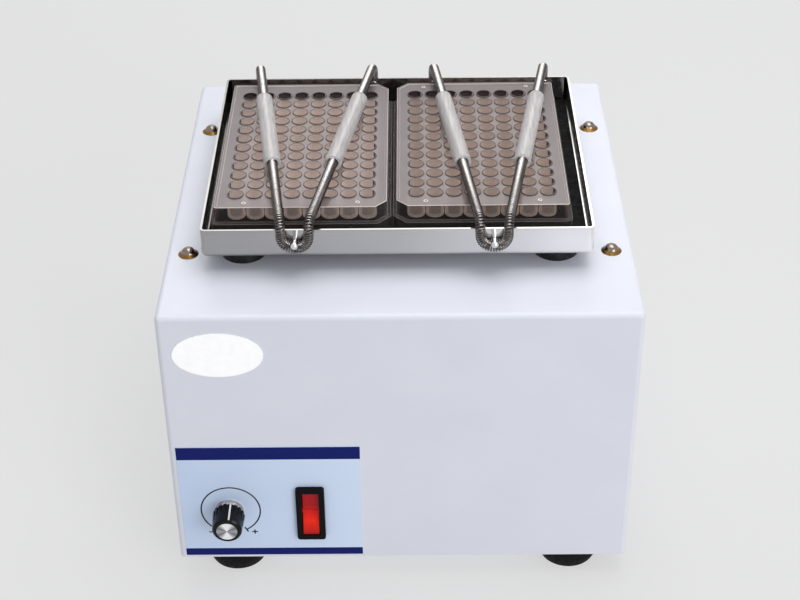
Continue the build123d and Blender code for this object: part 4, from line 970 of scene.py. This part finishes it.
# %%
def well_plate():
    """The shell of one plate about its own middle, standing on z = 0."""
    top, flange, wall = plate_size.z, 6.2 * mm, 1.3 * mm
    deck, under = top - 0.5 * mm, top - 1.9 * mm
    shell = Shell()
    # The rim rings are a dark line of painted shade.
    wells = [
        (4.1 * mm, deck, "deck"), (4.0 * mm, top - 0.08 * mm, "rim"), (3.9 * mm, top, "rim"),
        (3.6 * mm, top, "rim"), (3.48 * mm, top - 0.1 * mm, "rim"), (3.2 * mm, 3.6 * mm, "tube"),
    ]
    # The tubes end in light edges, a painted highlight.
    tubes = [
        (4.0 * mm, under, "skirt"), (4.3 * mm, 6 * mm, "tube"), (4.38 * mm, 3.2 * mm, "tube"),
        (4.32 * mm, 2.5 * mm, "edge"), (4.0 * mm, 2.3 * mm, "edge"),
    ]
    add_wells(shell, deck, False, wells, 3.45 * mm)
    add_wells(shell, under, True, tubes, 2.3 * mm)
    step = flange_step
    # The outline's edges and lips are light, a painted highlight.
    steps = [
        (step + 1.5 * mm, deck, "deck"), (step + 1.35 * mm, top, "edge"),
        (step + 0.25 * mm, top, "deck"), (step, top - 0.25 * mm, "edge"),
        (step, flange + 0.4 * mm, "skirt"), (step - 0.3 * mm, flange, "lip"),
        (0.3 * mm, flange, "skirt"), (0.0, flange - 0.3 * mm, "lip"), (0.0, 0.2 * mm, "skirt"),
        (0.2 * mm, 0.0, "lip"), (wall, 0.0, "skirt"), (wall, flange - wall, "skirt"),
        (step + wall, flange - wall + 0.3 * mm, "skirt"), (step + wall, under, "skirt"),
    ]
    rings = [outline(inset, height) for inset, height, _ in steps]
    flat_rings = [[p for corner in ring for p in corner] for ring in rings]
    for first, second, (_, _, kind) in zip(flat_rings, flat_rings[1:], steps[1:]):
        shell.band(second, first, kind)
    add_border(shell, deck, rings[0], False)
    add_border(shell, under, rings[-1], True)
    for x in (-27 * mm, 27 * mm):
        for y in (-57.6 * mm, 57.6 * mm):
            add_pip(shell, x, y, deck, 1.1 * mm, 0.4 * mm)
    return shell


moulding = well_plate()
print("plate shell points:", len(moulding.verts))

# %% [markdown]
# The two plates are the same moulding. The right one lies turned half round, as its cut corners
# show, so its points are turned before they are placed over the middle of its CAD node.

# %%
for side, materials, turn in (("left", left_plastics, 0), ("right", right_plastics, 180)):
    low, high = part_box(f"{side}_microplate")
    place = Matrix.Translation(Vector(((low.x + high.x) / 2, (low.y + high.y) / 2, low.z)))
    place = place @ Matrix.Rotation(math.radians(turn), 4, "Z")
    verts = [place @ Vector(v) for v in moulding.verts]
    plate = add_piece(
        f"{side}_well_plate", verts, moulding.faces, materials, "platform", moulding.kinds, sharp=30
    )
    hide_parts(f"{side}_microplate")
print("well plate faces:", len(moulding.faces))

# %% [markdown]
# ## Printing on the label
# The label carries two navy bands, and round the knob an arc with end ticks, a plus and a minus.
# The ink could be a pattern in the label's material, but as thin prisms that stand 0.03 mm proud it
# has sharp edges at any distance. A blank white enamel oval sits above it on the cabinet.


# %%
def flat_piece(name, shapes, face_y, depth, material):
    """Prisms with outlines of (x, z) in mm, whose face lies depth in front of face_y."""
    verts, faces = [], []
    for shape in shapes:
        start, count = len(verts), len(shape)
        verts += [(x * mm, face_y - depth, z * mm) for x, z in shape]
        verts += [(x * mm, face_y, z * mm) for x, z in shape]
        faces.append([start + i for i in range(count)])
        faces.append([start + count + i for i in reversed(range(count))])
        for i in range(count):
            j = (i + 1) % count
            faces.append([start + j, start + i, start + count + i, start + count + j])
    return add_piece(name, verts, faces, {"all": material}, "cabinet")


def on_circle(x, z, radius, angle):
    """A point on a circle, with its angle in degrees."""
    return x + radius * math.cos(math.radians(angle)), z + radius * math.sin(math.radians(angle))


def arc_shape(x, z, radius, width, start, end):
    """A band along an arc, as one outline."""
    angles = [start + (end - start) * i / 60 for i in range(61)]
    outer = [on_circle(x, z, radius + width / 2, a) for a in angles]
    inner = [on_circle(x, z, radius - width / 2, a) for a in angles]
    return outer + inner[::-1]


def bar(x, z, length, width, angle):
    """A straight bar about its middle."""
    c, s = math.cos(math.radians(angle)), math.sin(math.radians(angle))
    a, b = length / 2, width / 2
    return [(x + p * c - q * s, z + p * s + q * c) for p, q in ((-a, -b), (a, -b), (a, b), (-a, b))]


print("outline builders ready")

# %%
label_y = label_low.y
ink_depth = 0.03 * mm
left, right_end, foot, top = (n / mm for n in (label_low.x, label_high.x, label_low.z, label_high.z))
top_band, foot_band = 7.6, 4.5
bands = [
    [(left, top - top_band), (right_end, top - top_band), (right_end, top), (left, top)],
    [(left, foot), (right_end, foot), (right_end, foot + foot_band), (left, foot + foot_band)],
]
flat_piece("label_bands", bands, label_y, ink_depth, navy_ink)
print("bands are", round(right_end - left, 1), "mm long")

# %%
dial_x, dial_z, dial_radius = -84.2, 43.3, 14.5
dial_start, dial_end, line_width = -61, 241, 0.7
shapes = [arc_shape(dial_x, dial_z, dial_radius, line_width, dial_start, dial_end)]
for angle in (dial_start, dial_end):
    shapes.append(bar(*on_circle(dial_x, dial_z, dial_radius, angle), 3.4, line_width, angle))
plus, minus, sign_width = (-73.1, 29.1), (-94.6, 29.1), 0.65
shapes += [bar(*plus, 2.8, sign_width, 0), bar(*plus, 2.8, sign_width, 90), bar(*minus, 2.4, sign_width, 0)]
flat_piece("dial_marks", shapes, label_y, ink_depth, black_ink)

# %%
oval_x, oval_z, oval_half_width, oval_half_height, oval_points = -84, 138, 21, 12.2, 72
turns = [2 * math.pi * i / oval_points for i in range(oval_points)]
oval = [(oval_x + oval_half_width * math.cos(t), oval_z + oval_half_height * math.sin(t)) for t in turns]
flat_piece("blank_oval", [oval], front_y, 0.5 * mm, white_ink)
print("label and oval done")

# %% [markdown]
# ## Floor
# The photograph's background is a plain pale grey. A brighter lamp would also bleach the cabinet,
# so the floor is a mid-grey paper that gives off some light of its own. It keeps a soft shadow
# under the cabinet.

# %%
floor_size = 4.0
floor_mesh = bpy.data.meshes.new("floor")
corners = [(x * floor_size, y * floor_size, 0) for x, y in ((-1, -1), (1, -1), (1, 1), (-1, 1))]
floor_mesh.from_pydata(corners, [], [(0, 1, 2, 3)])
floor = bpy.data.objects.new("floor", floor_mesh)
scene.collection.objects.link(floor)
floor_material, tree = start_material("floor")
paper_tint = blend_colours(tree, noise(tree, 0.3, 2), colour("8C8C8C"), colour("888888"))
paper = add_node(
    tree, "ShaderNodeBsdfDiffuse", inputs={"Color": paper_tint, "Roughness": 0.5}
).outputs["BSDF"]
glow = add_node(
    tree, "ShaderNodeEmission", inputs={"Color": (1, 1, 1, 1), "Strength": 0.54}
).outputs["Emission"]
both = add_node(tree, "ShaderNodeAddShader", inputs={0: paper, 1: glow}).outputs["Shader"]
add_node(tree, "ShaderNodeOutputMaterial", inputs={"Surface": both})
floor_mesh.materials.append(floor_material)
floor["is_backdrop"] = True

print("floor is", 2 * floor_size, "m wide")

# %% [markdown]
# ## Sky
# A studio's walls are darker than its ceiling, so the sky's light rises from grey to white. What
# the camera, a mirroring surface or a clear one sees past the floor is the plain background's
# colour instead.

# %%
world = bpy.data.worlds.new("studio")
scene.world = world
world.use_nodes = True
tree = world.node_tree
tree.nodes.clear()
way = add_node(tree, "ShaderNodeTexCoord").outputs["Generated"]
rise = add_node(tree, "ShaderNodeSeparateXYZ", inputs={"Vector": way}).outputs["Z"]
sky = ramp(tree, rise, [(0.0, "94969C"), (0.3, "A6A8AE"), (0.7, "E8E9EE"), (1.0, "FFFFFF")])
sky = add_node(tree, "ShaderNodeBackground", inputs={"Color": sky, "Strength": 0.66}).outputs["Background"]
plain = add_node(
    tree, "ShaderNodeBackground", inputs={"Color": colour("E2E2E2"), "Strength": 1.0}
).outputs["Background"]
light_path = add_node(tree, "ShaderNodeLightPath").outputs
seen = light_path["Is Camera Ray"]
for ray in ("Is Glossy Ray", "Is Transmission Ray"):
    seen = add_node(
        tree, "ShaderNodeMath", {"operation": "MAXIMUM"}, {0: seen, 1: light_path[ray]}
    ).outputs[0]
mixed = add_node(tree, "ShaderNodeMixShader", inputs={0: seen, 1: sky, 2: plain}).outputs["Shader"]
add_node(tree, "ShaderNodeOutputWorld", inputs={"Surface": mixed})


print("sky ready")

# %% [markdown]
# ## Lamps
# A product photographer hangs large soft boxes, because a small lamp gives hard shadows. One is
# overhead, one fills the front from the right, where the photograph is brighter, and a low one at
# the back draws the bright lines along the tray's rim and the springs.


# %%
def soft_lamp(name, place, aim, width, height, power):
    """A rectangular soft lamp aimed at a point."""
    data = bpy.data.lights.new(name, "AREA")
    data.shape = "RECTANGLE"
    data.size, data.size_y, data.energy = width, height, power
    lamp = bpy.data.objects.new(name, data)
    scene.collection.objects.link(lamp)
    lamp.location = place
    lamp.rotation_euler = (Vector(aim) - Vector(place)).to_track_quat("-Z", "Y").to_euler()
    return lamp


soft_lamp("overhead", (0.15, 0.1, 1.3), (0, 0, 0.1), 1.1, 0.8, 7.5)
soft_lamp("fill", (0.9, -1.3, 0.6), (0, 0, 0.1), 1.0, 1.0, 10)
soft_lamp("back", (0, 1.1, 0.95), (0, 0, 0.18), 1.2, 0.35, 2.2)
print("stage set")

# %% [markdown]
# ## Size
# The dressed model has to stay inside the CAD model's box. Its own box is printed.

# %%
low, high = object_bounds()
print("visual box:", [round(c / mm, 2) for c in (*low, *high)])
